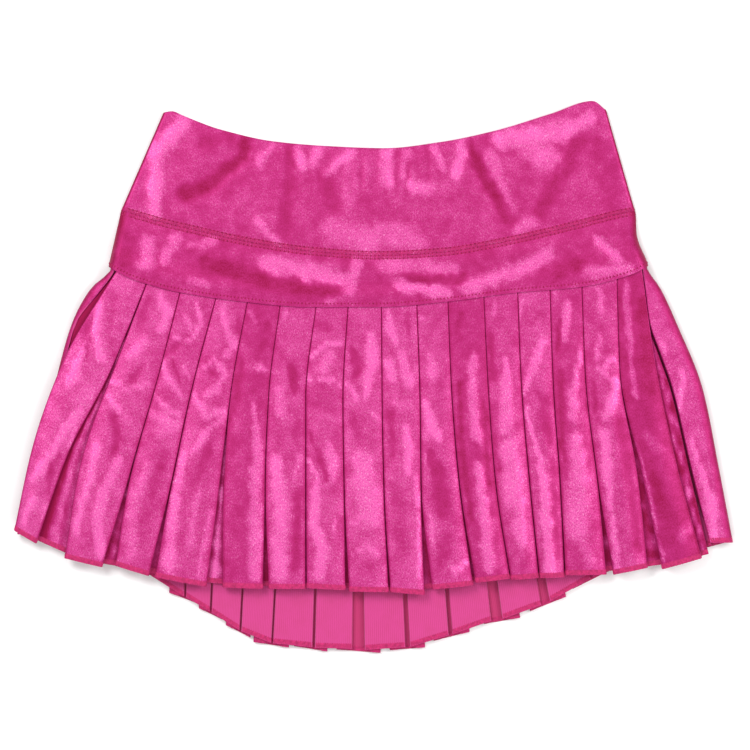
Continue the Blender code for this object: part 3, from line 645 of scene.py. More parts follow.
def sheet_uv(sheet):
    """The cloth's own measures at each point, in UV units: across it and down it."""
    across = np.linalg.norm(np.diff(sheet.middle, axis=1), axis=2).mean(axis=0)
    down = np.linalg.norm(np.diff(sheet.middle, axis=0), axis=2).mean(axis=1)
    u = np.concatenate([[0.0], np.cumsum(across)])
    v = np.concatenate([[0.0], np.cumsum(down)])
    return np.stack(np.meshgrid(u, v), axis=2) / UV_UNIT


SMOOTH_ANGLE = math.radians(62.0)
UV_UNIT = 100.0  # mm of cloth in one unit of its UV map


def new_piece(name, points, faces, materials, face_materials):
    """A mesh object at the origin, from points in mm."""
    mesh = bpy.data.meshes.new(name)
    mesh.from_pydata(np.asarray(points) * MM, [], faces)
    for material in materials:
        mesh.materials.append(material)
    mesh.polygons.foreach_set("material_index", np.asarray(face_materials, np.int32))
    piece = bpy.data.objects.new(name, mesh)
    bpy.context.scene.collection.objects.link(piece)
    bpy.ops.object.select_all(action="DESELECT")
    piece.select_set(True)
    bpy.context.view_layer.objects.active = piece
    bpy.ops.object.shade_smooth_by_angle(angle=SMOOTH_ANGLE)
    return piece


def cloth_piece(name, sheet, outside, inside, outside_over=True):
    """A closed shell of a sheet, with its right side and its wrong side."""
    rows, columns = sheet.middle.shape[:2]
    groups = grid_faces(rows, columns, sheet.loop)
    points = np.concatenate([sheet.over.reshape(-1, 3), sheet.under.reshape(-1, 3)])
    sides = [0 if outside_over else 1, 1 if outside_over else 0] + [0] * (len(groups) - 2)
    looks = np.concatenate([np.full(len(group), side) for group, side in zip(groups, sides)])
    faces = np.concatenate(groups)
    piece = new_piece(name, points, faces.tolist(), (outside, inside), looks)
    uv = np.tile(sheet_uv(sheet).reshape(-1, 2), (2, 1))
    layer = piece.data.uv_layers.new(name="UVMap")
    layer.uv.foreach_set("vector", uv[faces.ravel()].astype(np.float32).ravel())
    # The shine attribute carries the painted highlight and shade that the foil material turns into colour.
    shine = piece.data.attributes.new("shine", "FLOAT", "POINT")
    shine.data.foreach_set("value", np.tile(sheet.shine.ravel(), 2).astype(np.float32))
    return piece


# ---------------------------------------------------------------- pleated skirt


def turn(x, z_from, z_to, hand):
    """A round fold between two layers, whose outermost point is at x on the side of hand."""
    half = (z_to - z_from) / 2
    reach = min(abs(half), FOLD_REACH)
    middle = (z_from + z_to) / 2
    return [(x - hand * reach * (1 - math.cos(a)), middle + half * math.sin(a)) for a in FOLD_ANGLES]


def spread(start, stop, count):
    """Places strictly between two ends, evenly spaced."""
    return [mix(start, stop, k / (count + 1)) for k in range(1, count + 1)]


# A point of a section: its place, the height of the hem below it, its face (0 for none), how far
# across that face or across the gap over it it is, how much of the outer light is painted on it (less is
# painted shade), and the x whose creases it carries.
Spot = namedtuple("Spot", "x z hem face across open crease_x", defaults=(0.0,))
CROWN_ROUND = 0.85  # how round the crown of a box is
INNER_OPEN, RETURN_OPEN = 0.4, 0.7  # how much outer light is painted on the inner folds and the returns
FRONT_APART, BACK_APART = PARTING / 2 + 0.2, 1.0  # half the gap between the inner folds under one box


def box_face(number, left, right, top, crown, hem_at, count, creased_as):
    """The outer face of a box, crowned between its two folds."""
    spots = []
    for k in range(count):
        across = k / (count - 1)
        x = mix(left + FOLD_REACH, right - FOLD_REACH, across)
        dome = math.sin(math.pi * across) ** CROWN_ROUND
        crease_x = mix(*creased_as, across) if creased_as else x
        spots.append(Spot(x, top + crown * dome, hem_at(x), number, across, 1.0, crease_x))
    return spots


def box_spots(number, sides, inner, layers, crown, hem, count, creased_as=None):
    """One box: its left return, its face with that count of points, and its right return."""
    left, right = sides
    inner_left, inner_right = inner
    low, mid, top = layers

    def hem_at(x):
        return mix(*hem, (x - left) / (right - left))

    def folded(points, rise, open_share):
        return [Spot(x, z, hem_at(x) + rise, 0, 0.0, open_share) for x, z in points]

    first = folded(turn(inner_left, low, mid, 1), INNER_RISE, INNER_OPEN)
    first += folded([(x, mid) for x in spread(inner_left, left, 1)], 0.0, RETURN_OPEN)
    first += folded(turn(left, mid, top, -1), 0.0, FOLD_OPEN)
    face = box_face(number, left, right, top, crown, hem_at, count, creased_as)
    second = folded(turn(right, top, mid, 1), 0.0, FOLD_OPEN)
    second += folded([(x, mid) for x in spread(right, inner_right, 1)], 0.0, RETURN_OPEN)
    second += folded(turn(inner_right, mid, low, -1), INNER_RISE, INNER_OPEN)
    return first, face, second


def strip(before, after, count, gap=None, open_share=1.0):
    """The inner face between two boxes. Where a gap shows it, across tells how far across that gap."""
    spots = []
    for k in range(1, count + 1):
        share = k / (count + 1)
        x, z, hem = (mix(getattr(before, name), getattr(after, name), share) for name in ("x", "z", "hem"))
        across = min(max((x - gap[0]) / (gap[1] - gap[0]), 0.001), 0.999) if gap else 0.0
        spots.append(Spot(x, z, hem, 0, across, open_share))
    return spots


# The boxes to the right of the two gaps that show their inner faces best, how many points cross those
# faces, and how many cross the others.
WIDE_BOX, LIT_BOX = 2, 5
WIDE_POINTS, LIT_POINTS, INNER_POINTS = 22, 10, 6
WIDE_OPEN = 2.0  # marks the inner face that the widest gap shows
LIT_FROM, LIT_MORE = 0.4, 2.4  # from how far down the other gap gets more painted light, and how much more
FLAP_SHADE, FLAP_LIGHT = -0.2, 0.3  # how much outer light is painted beside the left and the right flap
FLAP_POINTS_LEFT, FLAP_POINTS_RIGHT = 11, 12  # across the inner faces beside the flaps

# The painted light of the inner faces, across the gap that shows them: the wide gap beside the first box,
# whose left half gets painted shade from it, and the others. ridge is how high their own small folds stand
# there.
Inner = namedtuple("Inner", "across wide other ridge")
INNERS = (
    Inner(0.0, -1.3, -0.9, 0.0),
    Inner(0.26, -1.1, -0.4, 0.1),
    Inner(0.36, -0.3, -0.2, 0.9),
    Inner(0.50, 0.4, -0.1, 0.2),
    Inner(0.66, 0.5, -0.2, 0.8),
    Inner(0.74, -0.1, -0.4, 0.2),
    Inner(1.0, 0.2, -0.9, 0.0),
)


def inner_value(name, across):
    return smooth([inner.across for inner in INNERS], [getattr(inner, name) for inner in INNERS], across)


def climbing(spots, side, edge_x, box_x):
    """The inner face beside a flap, which climbs to the flap's edge once the gap is 2 to 5 mm wide."""
    share = clamped((abs(edge_x - box_x) - 2.0) / 3.0)
    rise = (side.height - side.turn - spots[0].z) * share
    ways = [clamped((spot.x - box_x) / (edge_x - box_x)) for spot in spots]
    return [spot._replace(z=spot.z + rise * way**1.5) for spot, way in zip(spots, ways)]


def flap_edge(side, hand, level, sides, hem, open_share):
    """The front's side edge, where it is sewn to a flap."""
    x = side.flap - hand * SIDE_SEAM
    y = mix(*hem, (x - sides[0]) / (sides[1] - sides[0])) + INNER_RISE
    return Spot(x, level.front_low, y, 0, 0.0, open_share)


def inner_strip(number, before, after, gap, down):
    """The inner face to the left of a front box."""
    if number == WIDE_BOX:
        return strip(before, after, WIDE_POINTS, gap, WIDE_OPEN)
    if number == LIT_BOX:
        return strip(before, after, LIT_POINTS, gap, 1.0 + LIT_MORE * max(down - LIT_FROM, 0.0))
    return strip(before, after, INNER_POINTS, gap)


def front_row(down):
    """The front's cloth at a share of the way down, from its left side edge to its right one."""
    level = level_at(down)
    layers = (level.front_low, level.front_mid, level.front_top)
    spots = []
    for number, sides in enumerate(box_sides(down), 1):
        left, right = FRONT_FOLDS[number - 1], FRONT_FOLDS[number]
        hem = (left.y_right, right.y_left)
        middle = (sides[0] + sides[1]) / 2
        inner = (middle - FRONT_APART, middle + FRONT_APART)
        crown = left.crown * level.crown
        first, face, second = box_spots(number, sides, inner, layers, crown, hem, FACE_POINTS)
        if number == 1:
            flap = side_at(LEFT_SIDE, down)
            edge = flap_edge(flap, -1, level, sides, hem, FLAP_SHADE)
            spots = [edge] + strip(edge, first[0], FLAP_POINTS_LEFT, open_share=FLAP_SHADE)
            spots = climbing(spots, flap, edge.x, sides[0])
        else:
            spots += inner_strip(number, spots[-1], first[0], (last_side, sides[0]), down)
        spots += first + face + second
        last_side = sides[1]
    flap = side_at(RIGHT_SIDE, down)
    edge = flap_edge(flap, 1, level, sides, hem, FLAP_LIGHT)
    beside = strip(spots[-1], edge, FLAP_POINTS_RIGHT, (last_side, edge.x)) + [edge]
    return spots + climbing(beside, flap, edge.x, sides[1])


SIDE_ANGLES = (78, 58, 38, 19, 0, -19, -38, -58, -78)  # of the points round a side, in degrees
FLAP_EDGE = ((0.0, 1.0), (0.0, 0.55), (0.15, 0.2))  # a flap's turned edge: mm in, and share of its turn
FLAP_FROM, FLAP_POINTS = 0.5, 9  # where the flat of a flap starts, and how many points cross it
FLAP_ACROSS = 0.3  # its creases fade as they do at this share of a box's face
SIDE_DARK = 0.8  # how much painted shade takes of the outer light at the middle of a side


def side_spots(side, floor, hem, hand):
    """The back's cloth round one side, from the flap's turned edge down to the floor."""
    curl = min(abs(side.flap - side.outline), SIDE_CURL)
    middle, half = (side.height + floor) / 2, (side.height - floor) / 2
    inward = -hand
    points = [(side.flap - inward * aside, side.height - share * side.turn) for aside, share in FLAP_EDGE]
    spots = [Spot(x, z, hem, 0, 0.0, RETURN_OPEN) for x, z in points]
    start, stop = side.flap - inward * FLAP_FROM, side.outline + inward * curl
    flat = [start] + spread(start, stop, FLAP_POINTS)
    spots += [Spot(x, side.height, hem, "side", FLAP_ACROSS, 1.0, x) for x in flat]
    for angle in SIDE_ANGLES:
        bend = math.radians(angle)
        width = curl if angle > 0 else SIDE_CURL
        x = side.outline + inward * width * (1 - math.cos(bend))
        # Painted shade round the side, deepest at its middle.
        light = 1.0 - SIDE_DARK * math.cos(bend)
        spots.append(Spot(x, middle + half * math.sin(bend), hem, 0, 0.0, light))
    return spots


BACK_INNER_POINTS, BACK_END_POINTS = 7, 5  # across the back's inner faces, and beside its sides
BACK_OPEN = 0.8  # how much of the outer light is painted on its inner faces


def back_row(down):
    """The back's cloth from the flap at the left, under the garment, to the flap at the right."""
    level = level_at(down)
    layers = (level.back_top, level.back_mid, level.back_low)
    last = len(BACK_BOXES) - 1
    fronts = box_sides(down)  # the back's boxes carry the front's creases, the other way round
    left_hem, right_hem = BACK_BOXES[0].y_left, BACK_BOXES[last].y_right
    spots = side_spots(side_at(LEFT_SIDE, down), level.back_low, left_hem, -1)
    for k, box in enumerate(BACK_BOXES):
        middle = (box.seam_left + box.seam_right) / 2
        inner_left, inner_right = middle - BACK_APART, middle + BACK_APART
        if k == 0:
            inner_right = box.seam_right - SEAM_INNER
        if k == last:
            inner_left = box.seam_left + SEAM_INNER
        sides = (
            mix(box.seam_left + PARTING / 2, box.hem_left, down),
            mix(box.seam_right - PARTING / 2, box.hem_right, down),
        )
        inner = (mix(inner_left, box.inner_left, down), mix(inner_right, box.inner_right, down))
        hem = (box.y_left, box.y_right)
        number = len(BACK_BOXES) - k
        first, face, second = box_spots(
            number, sides, inner, layers, 0.0, hem, BACK_FACE_POINTS, fronts[number - 1][::-1]
        )
        if k:
            spots += strip(spots[-1], first[0], BACK_INNER_POINTS, open_share=BACK_OPEN) + first
        else:
            face = strip(spots[-1], second[0], BACK_END_POINTS)
        if k == last:
            end = side_spots(side_at(RIGHT_SIDE, down), level.back_low, right_hem, 1)[::-1]
            return spots + strip(spots[-1], end[0], BACK_END_POINTS) + end
        spots += face + second
    return spots


HEM_EVEN = 12.0  # how far up from the hem the creases keep one height, so that the edging lies on them
PRESSED = 3.0  # creases rise above this height alone, because the cloth on the table is pressed flat
INNER_WAVE = Wave(1.5, 3.6, 3.0)  # how the painted light of the inner faces wanders
WIDE_WAVE = 0.5  # how far it wanders where the widest gap shows them
HELD, FREE = 0.03, 0.08  # how far down the seam holds the cloth flat, and over how much it comes free
FADE_EDGE = 0.12  # how far outside its sine a face starts, so that the creases don't fade to nothing


def loosened(down):
    """How free the cloth is to crease: not at the seam that holds it, and wholly a little below."""
    return clamped((down - HELD) / FREE)


def face_look(spot, y, down, crease_height):
    """How far the creases raise a point of a box's face or of a flap, and its painted highlight and shade."""
    strokes = FACE_STROKES[spot.face]
    seed = FLAP_SEED if spot.face == "side" else 5.0 * spot.face
    total = creased(strokes, spot.crease_x, y, seed)
    gleam = gleamed(total, FACE_SHINE[spot.face])
    # Painted shade along the face's edges where it turns into its folds, deeper towards the hem.
    if spot.across in (0.0, 1.0):
        gleam -= FOLD_SHADE * math.sqrt(down)
    if y < spot.hem + HEM_EVEN:
        total = creased(strokes, spot.crease_x, spot.hem + HEM_EVEN, seed)
    fade = math.sin(math.pi * (FADE_EDGE + (1 - 2 * FADE_EDGE) * spot.across)) ** 0.6
    return crease_height * total * loosened(down) * fade * clamped(spot.z - PRESSED), gleam


def inner_look(spot, y, down):
    """How far an inner face's own small folds raise it where a gap shows it, and its painted light and shade.
    """
    wave = wander(spot.x, y * 0.4, INNER_WAVE.size, INNER_WAVE.seed)
    if spot.open == WIDE_OPEN:
        rise = inner_value("ridge", spot.across) * loosened(down)
        return rise, inner_value("wide", spot.across) + WIDE_WAVE * wave
    gleam = inner_value("other", spot.across) + (spot.open - 1.0) * math.sin(math.pi * spot.across)
    return 0.0, gleam + INNER_WAVE.reach * wave


def skirt_sheet(row_at, rows, half, crease_height):
    """A skirt panel with its creases. Each section runs level with the seam at its top and the hem."""
    downs = [k / (rows - 1) for k in range(rows)]
    grid = [row_at(down) for down in downs]
    seams = [line_y_at("edge", spot.x) + LAP for spot in grid[0]]
    middle, shine = [], []
    for down, spots in zip(downs, grid):
        points, gleams = [], []
        for seam, spot in zip(seams, spots):
            y = mix(seam, spot.hem, down)
            # A point off the faces gets painted shade where less outer light is painted on it.
            rise, gleam = 0.0, spot.open - 1.0
            if spot.face:
                rise, gleam = face_look(spot, y, down, crease_height)
            elif spot.across:
                rise, gleam = inner_look(spot, y, down)
            points.append((spot.x, y, spot.z + rise))
            gleams.append(gleam)
        middle.append(points)
        shine.append(gleams)
    thickness = np.full((rows, len(seams)), half)
    return Sheet(middle, thickness, thickness, shine=shine)


# ---------------------------------------------------------------- waistband and yoke


TUBE_FRONT, TUBE_BACK, TUBE_TURN = 200, 70, 7  # steps across the tubes' fronts, backs and turns
BAND_TALL, YOKE_TALL = 78.0, 40.0  # their heights, by which their rows and grooves are placed
BAND_EDGE_ROWS = (0.0, 0.35, 0.9, 1.6, 2.6)  # rows round the waistband's folded edge, mm below it
BAND_EVEN_FROM, BAND_EVEN_ROWS = 4.4, 34  # where its even rows start, and how many there are
BAND_BEND = (BAND_CLOTH + CLEAR) / 2  # of the middle of its cloth round its sides
BAND_REACH = BAND_BEND + BAND_CLOTH / 2
YOKE_HALF = 0.5  # half the thickness of the yoke's cloth
YOKE_STEPS, YOKE_EDGE_ROWS = 24, (0.975, 0.99, 1.0)
YOKE_UNDERCURL = 1.6  # how far in its sides are round below their middle
YOKE_SUNK = 0.2  # how far below the top of its back's layer its sides reach out furthest
YOKE_CLIMB = 0.8  # the share of its height over which its front climbs to the pleats
YOKE_ROUND_FROM, YOKE_ROUND = 0.965, 0.04  # where its lower edge starts to round off, and over how much
TOPSTITCH_UP = 2.7  # how far the yoke's topstitching is from its lower edge
YOKE_SLACK = 0.3  # how far the yoke stands off what is under it
GROOVE, YOKE_GROOVE = 0.35, 0.3  # how far the stitches draw in the tubes' backs
SHOWN_GROOVE, TOPSTITCH_GROOVE = 0.5, 0.25  # and how far the waistband's and the yoke's fronts
GROOVE_WIDTH = 4.2  # how wide it is to each side of the stitches
SETTLED = 0.5  # from here down the cloth lies softly on the layer below it
GATHER_FADE = Wave(1.1, 17.0, 9.0)  # how the gathers' depths vary
GATHER_SHIFT = Wave(4.0, 22.0, 2.0)  # and how their places do
GATHER_LEAST = 0.15  # what is left of them where they are faintest
GATHER_SHINE = 0.25  # how strongly they paint highlight and shade
PUFF_LEAST = 0.35  # what share of its puff the waistband keeps at its top edge and at its seam
BODY_FROM = 0.12  # the share of its height over which its folded edge rises to its body


def tube_columns(left, right, reach):
    """Places across one section of a flattened tube: its front, its right turn, its back, its left turn."""
    front = [("front", mix(left + reach, right - reach, k / TUBE_FRONT)) for k in range(TUBE_FRONT + 1)]
    back = [("back", mix(right - reach, left + reach, k / TUBE_BACK)) for k in range(TUBE_BACK + 1)]
    turns = spread(90.0, -90.0, TUBE_TURN)
    return front + [("right", angle) for angle in turns] + back + [("left", angle) for angle in turns[::-1]]


def gather(x, down):
    """The height of the small upright gathers under the top edge."""
    along = (x - GATHER_LEFT) / (GATHER_RIGHT - GATHER_LEFT)
    if not (0 < along < 1 and GATHER_HEAD < down < GATHER_FOOT):
        return 0.0
    fade = math.sin(math.pi * along) ** 0.5
    fade *= math.sin(math.pi * (down - GATHER_HEAD) / (GATHER_FOOT - GATHER_HEAD))
    fade *= GATHER_LEAST + GATHER_FADE.reach * abs(wander(x, 0.0, GATHER_FADE.size, GATHER_FADE.seed))
    shift = GATHER_SHIFT.reach * wander(x, 0.0, GATHER_SHIFT.size, GATHER_SHIFT.seed)
    return GATHER_DEPTH * math.cos(2 * math.pi * GATHERS * along + shift) * fade


def broad_crease(x, y):
    """How far the waistband's broad creases raise or lower it here."""
    total = 0.0
    for fold in BAND_CREASES:
        run_x, run_y = fold.foot_x - fold.head_x, fold.foot_y - fold.head_y
        length = math.hypot(run_x, run_y)
        along = ((x - fold.head_x) * run_x + (y - fold.head_y) * run_y) / length**2
        aside = ((x - fold.head_x) * run_y - (y - fold.head_y) * run_x) / length
        if 0 < along < 1:
            total += fold.depth * math.exp(-((aside / fold.width) ** 2)) * math.sin(math.pi * along) ** 0.6
    return total


def settled(rise):
    """The rise, which softens as the cloth comes down on the layer below it."""
    return rise if rise > SETTLED else SETTLED * math.exp((rise - SETTLED) / SETTLED)


def seam_dip(away):
    """How much the cloth is drawn in at a distance from a line of stitching."""
    return math.exp(-((away / GROOVE_WIDTH) ** 4))


def band_front(x, y, down, swell, crease_height):
    """How far the waistband's front stands off its back, and its painted highlight and shade."""
    total = creased(FACE_STROKES["band"], x, y, BAND_SEED)
    puff = swell**0.6 * (PUFF_LEAST + (1 - PUFF_LEAST) * math.sin(math.pi * min(down + 0.1, 1) * 0.75))
    rise = BAND_PUFF * puff + broad_crease(x, y) + gather(x, down)
    rise += crease_height * total * min(swell * 12, 1.0)
    return settled(rise), gleamed(total, 0.0) + GATHER_SHINE * gather(x, down) / GATHER_DEPTH


def band_sheet(sizes):
    """The waistband, a flattened tube of doubled cloth with a folded top edge."""
    half = BAND_CLOTH / 2
    rows = [mix(BAND_EVEN_FROM, BAND_TALL, k / BAND_EVEN_ROWS) for k in range(BAND_EVEN_ROWS)]
    middle, over, under, shine = [], [], [], []
    for mm in (*BAND_EDGE_ROWS, *rows, BAND_TALL):
        down = mm / BAND_TALL
        left, right = mix(TOP_LEFT, SEAM_LEFT, down), mix(TOP_RIGHT, SEAM_RIGHT, down)
        body = min(1.0, down / BODY_FROM)
        thick = half * math.sqrt(max(1 - (1 - min(mm, 1.0)) ** 2, 0.03))  # the folded edge is round
        dip = seam_dip((1 - down) * BAND_TALL)
        row, outs, gleams = [], [], []
        for part, place in tube_columns(left, right, BAND_REACH):
            if part in ("front", "back"):
                x = place
                z = 1.5 * BAND_CLOTH + CLEAR if part == "front" else half
            else:
                hand, bend = 1 if part == "right" else -1, math.radians(place)
                x = (right if hand > 0 else left) - hand * (BAND_REACH - BAND_BEND * math.cos(bend))
                z = half + BAND_BEND + BAND_BEND * math.sin(bend)
                # Painted shade round the side of the tube.
                gleam = -TURN_SHADE * math.cos(bend) ** 0.7
            share = clamped((x - left) / (right - left))
            y = mix(line_y("top", share), line_y("seam", share) + SEAM_SHOWN / 2, down)
            out = thick
            if part == "front":
                swell = math.sin(math.pi * clamped((x - left - BAND_REACH) / (right - left - 2 * BAND_REACH)))
                rise, gleam = band_front(x, y, down, swell, sizes.crease_height / MM)
                z += rise * body
                out -= SHOWN_GROOVE * dip
            elif part == "back":
                strokes = FACE_STROKES["band"]
                # Painted highlight and shade from the mirrored creases.
                gleam = gleamed(creased(strokes, 2 * MIDDLE_X - x, y, BAND_BACK_SEED), BACK_SHINE)
                out -= GROOVE * dip
            row.append((x, y, z))
            outs.append(out)
            gleams.append(gleam)
        middle.append(row)
        over.append(outs)
        under.append([thick] * len(row))
        shine.append(gleams)
    return Sheet(middle, over, under, loop=True, shine=shine)


def yoke_sheet(sizes):
    """The yoke, a flattened tube whose front climbs over the tops of the pleats."""
    strokes = FACE_STROKES["yoke"]
    seam_top = 2 * SHORTS_CLOTH + 3 * CLEAR + 1.5 * YOKE_CLOTH
    edge_top = LEVELS[0].front_top + PLEAT_CLOTH / 2 + CLEAR + YOKE_CLOTH / 2
    centre = YOKE_CLOTH + CLEAR - YOKE_SUNK
    middle, over, under, shine = [], [], [], []
    for down in (*[k / YOKE_STEPS for k in range(YOKE_STEPS)], *YOKE_EDGE_ROWS):
        left = mix(SEAM_LEFT, EDGE_LEFT, down)
        right = mix(SEAM_RIGHT, EDGE_RIGHT, down) - YOKE_NIP * math.sin(math.pi * down) ** 2
        climb = min(down / YOKE_CLIMB, 1.0)
        top = mix(seam_top, edge_top, climb * climb * (3 - 2 * climb))
        rounding = min(max((down - YOKE_ROUND_FROM) / YOKE_ROUND, 0.0), 0.93)
        thick = YOKE_HALF * math.sqrt(1 - rounding**2)
        dip = seam_dip(min(down * YOKE_TALL, abs((1 - down) * YOKE_TALL - TOPSTITCH_UP) + 1.5))
        row, outs, gleams = [], [], []
        for part, place in tube_columns(left, right, YOKE_CURL):
            if part in ("front", "back"):
                x, z = place, top if part == "front" else YOKE_HALF
            else:
                hand, bend = 1 if part == "right" else -1, math.radians(place)
                width = YOKE_CURL if bend > 0 else YOKE_UNDERCURL
                z = centre + (top - centre if bend > 0 else centre - YOKE_HALF) * math.sin(bend)
                x = YOKE_HALF + (width - YOKE_HALF) * (1 - math.cos(bend))
                x = (right if hand > 0 else left) - hand * x
                # Painted shade round the side of the tube.
                gleam = -TURN_SHADE * math.cos(bend) ** 0.7
            share = clamped((x - left) / (right - left))
            y = mix(line_y("seam", share) - SEAM_SHOWN / 2, line_y("edge", share), down)
            out = thick
            if part == "front":
                total = creased(strokes, x, y, YOKE_SEED)
                # Painted highlight and shade from the yoke's creases.
                gleam = gleamed(total, YOKE_SHINE)
                inside = math.sin(math.pi * (x - left) / (right - left))
                steady = min(inside * 10, 1.0) * math.sin(math.pi * min(max(down, 0.03), 0.97)) ** 0.4
                z += settled(sizes.crease_height / MM * total + YOKE_SLACK * inside) * steady
                out -= TOPSTITCH_GROOVE * dip
            elif part == "back":
                # Painted highlight and shade from the mirrored creases.
                gleam = gleamed(creased(strokes, 2 * MIDDLE_X - x, y, YOKE_BACK_SEED), BACK_SHINE)
                out -= YOKE_GROOVE * dip
            row.append((x, y, z))
            outs.append(out)
            gleams.append(gleam)
        middle.append(row)
        over.append(outs)
        under.append([thick] * len(row))
        shine.append(gleams)
    return Sheet(middle, over, under, loop=True, shine=shine)


# ---------------------------------------------------------------- inner shorts


def shorts_sheet(hand, half):
    """One side of the shorts: its front lies on its back, and it is folded at the outer side."""
    last = len(SHORTS_ROWS) - 1
    stations = [k / last for k in range(last + 1)]
    sides = [row.left if hand < 0 else row.right for row in SHORTS_ROWS]
    middle = []
    for down in [k / SHORTS_STEPS for k in range(SHORTS_STEPS + 1)]:
        at = min(int(down * last), last - 1)
        outer = smooth(stations, sides, down)
        inner = MIDDLE_X + hand * smooth(stations, [row.inner for row in SHORTS_ROWS], down)
        low = smooth(stations, [row.height for row in SHORTS_ROWS], down)
        high = low + SHORTS_CLOTH + CLEAR
        across = [mix(inner, outer - hand * FOLD_REACH, k / SHORTS_STEPS) for k in range(SHORTS_STEPS + 1)]
        points = [(x, high) for x in across] + turn(outer, high, low, hand) + [(x, low) for x in across[::-1]]
        section = []
        for x, z in points:
            aside = abs(x - MIDDLE_X) / abs(outer - MIDDLE_X)
            heights = []
            for row in SHORTS_ROWS[at : at + 2]:
                y = mix(row.middle_y, row.side_y, aside**1.5)
                heights.append(y + (line_y_at(row.from_line, x) if row.from_line else 0.0))
            section.append((x, mix(*heights, down * last - at), z))
        middle.append(section)
    thickness = np.full((len(middle), len(middle[0])), half)
    return Sheet(middle, thickness, thickness)


# ---------------------------------------------------------------- stitches and hem edging


STITCH_HALF = 0.26  # half a stitch's length, as a share of its pitch
# A dark grain of painted shade lies in each needle hole.
HOLE_FROM, HOLE_TO = 0.31, 0.69  # where the hole between two stitches of the waist seam starts and ends
NEEDLE_IN, NEEDLE_WIDTH = 0.3, 1.3  # the outer rows' place (mm in from the edge), and width in threads
MIDDLE_ROW = 0.7  # how wide the middle row looks beside the outer ones
LOOP_IN, LOOP_OFF = 0.7, 0.3  # how far in from the coverstitch's edge, and off its middle, the loops end
LOOPS_ABOVE, LOOPS_BELOW = (-0.2, 0.14, 0.5), (-0.05, 0.45)  # their places, as shares of the pitch
LEANS = (-0.1, 0.16)  # how far every other loop leans, each way
TOPSTITCH_PITCH = 0.85  # the topstitching's pitch, as a share of the waist seam's
TOP_HOLE = (0.27, 0.73)  # where the hole between two of its stitches starts and ends

# How wide and how high they are, in threads: the waist seam's holes and its looper thread, and the
# topstitching's stitches and holes.
SEAM_HOLE_SIZE, LOOPER_SIZE, TOP_STITCH_SIZE, TOP_HOLE_SIZE = (2.0, 0.9), (1.1, 0.7), (1.2, 0.7), (2.8, 1.1)

# The hem edging's section on its front side: how far out of the cloth it is (1 is its full thickness),
# and how far up the edging.
HEM_PROFILE = ((0.86, 1.0), (1.0, 0.86), (1.0, 0.5), (1.0, 0.14), (0.6, -0.06))
HEM_SLANT, HEM_RAGGED = 0.45, 0.25  # how far its threads slant (pitches), and how ragged its top is (mm)

# Half the hem edgings' thickness and the height of their ridges. The back's rests on the table.
Edging = namedtuple("Edging", "half ridge")
FRONT_EDGING, BACK_EDGING = Edging(0.58, 0.16), Edging(0.48, 0.07)


def on_sheet(sheet, surface, row, column):
    """The point of a sheet's surface at a fractional row and column, and the way out of it."""
    rows, columns = surface.shape[:2]
    i = min(int(row), rows - 2)
    j = int(column) % columns if sheet.loop else min(int(column), columns - 2)
    k = (j + 1) % columns
    s, t = row - i, column - int(column)
    point = (surface[i, j] * (1 - t) + surface[i, k] * t) * (1 - s)
    point += (surface[i + 1, j] * (1 - t) + surface[i + 1, k] * t) * s
    out = np.cross(surface[i + 1, j] - surface[i, j], surface[i, k] - surface[i, j])
    return point, out / max(np.linalg.norm(out), 1e-9)


def row_near(surface, column, distance, from_foot):
    """The fractional row at a distance (mm) from a sheet's upper or lower edge."""
    line = surface[:, int(column) % surface.shape[1]]
    steps = np.linalg.norm(np.diff(line, axis=0), axis=1)
    if from_foot:
        walked = np.concatenate([[0.0], np.cumsum(steps[::-1])])
        return len(line) - 1 - float(np.interp(distance, walked, np.arange(len(line))))
    walked = np.concatenate([[0.0], np.cumsum(steps)])
    return float(np.interp(distance, walked, np.arange(len(line))))


def along_edge(line, pitch, loop):
    """Fractional places along a row of points, a stitch's pitch apart."""
    closed = np.vstack([line, line[:1]]) if loop else line
    walked = np.concatenate([[0.0], np.cumsum(np.linalg.norm(np.diff(closed, axis=0), axis=1))])
    count = int(walked[-1] / pitch)
    return np.interp((np.arange(count) + 0.5) * walked[-1] / count, walked, np.arange(len(closed)))


def model_stitch(name, faces_round, rings):
    """One stitch, a grain 1 m long and 1 m thick across that is scaled where it is sewn in."""
    bpy.ops.object.select_all(action="DESELECT")
    bpy.ops.mesh.primitive_uv_sphere_add(segments=faces_round, ring_count=rings, radius=0.5)
    grain = bpy.context.object
    grain.name = name
    bpy.ops.object.mode_set(mode="EDIT")
    bpy.ops.mesh.select_all(action="SELECT")
    bpy.ops.transform.rotate(value=math.pi / 2, orient_axis="Y", center_override=(0.0, 0.0, 0.0))
    bpy.ops.object.mode_set(mode="OBJECT")
    points = np.array([vertex.co for vertex in grain.data.vertices])
    # A thread is even along its length and rounds off only near its ends.
    points[:, 0] = np.sign(points[:, 0]) * 0.5 * (1 - (1 - np.abs(points[:, 0]) * 2) ** 1.6)
    faces = [list(face.vertices) for face in grain.data.polygons]
    bpy.data.objects.remove(grain)
    return points, faces


def sewn(name, places, thread):
    """Copies of one stitch joined into a piece. A place is its two ends, its way out, width and height."""
    grain, grain_faces = model_stitch(name + "_grain", 8, 6)
    points, faces = [], []
    for start, end, out, width, height in places:
        run = end - start
        length = max(np.linalg.norm(run), 1e-6)
        run = run / length
        side = np.cross(out, run)
        side /= max(np.linalg.norm(side), 1e-9)
        up = np.cross(run, side)
        turned = grain[:, :1] * length * run + grain[:, 1:2] * width * side + grain[:, 2:] * height * up
        base = len(points) * len(grain)
        placed = turned + (start + end) / 2
        placed[:, 2] = np.maximum(placed[:, 2], 0.0)
        points.append(placed)
        faces += [[base + corner for corner in face] for face in grain_faces]
    return new_piece(name, np.concatenate(points), faces, (thread,), np.zeros(len(faces), np.int32))


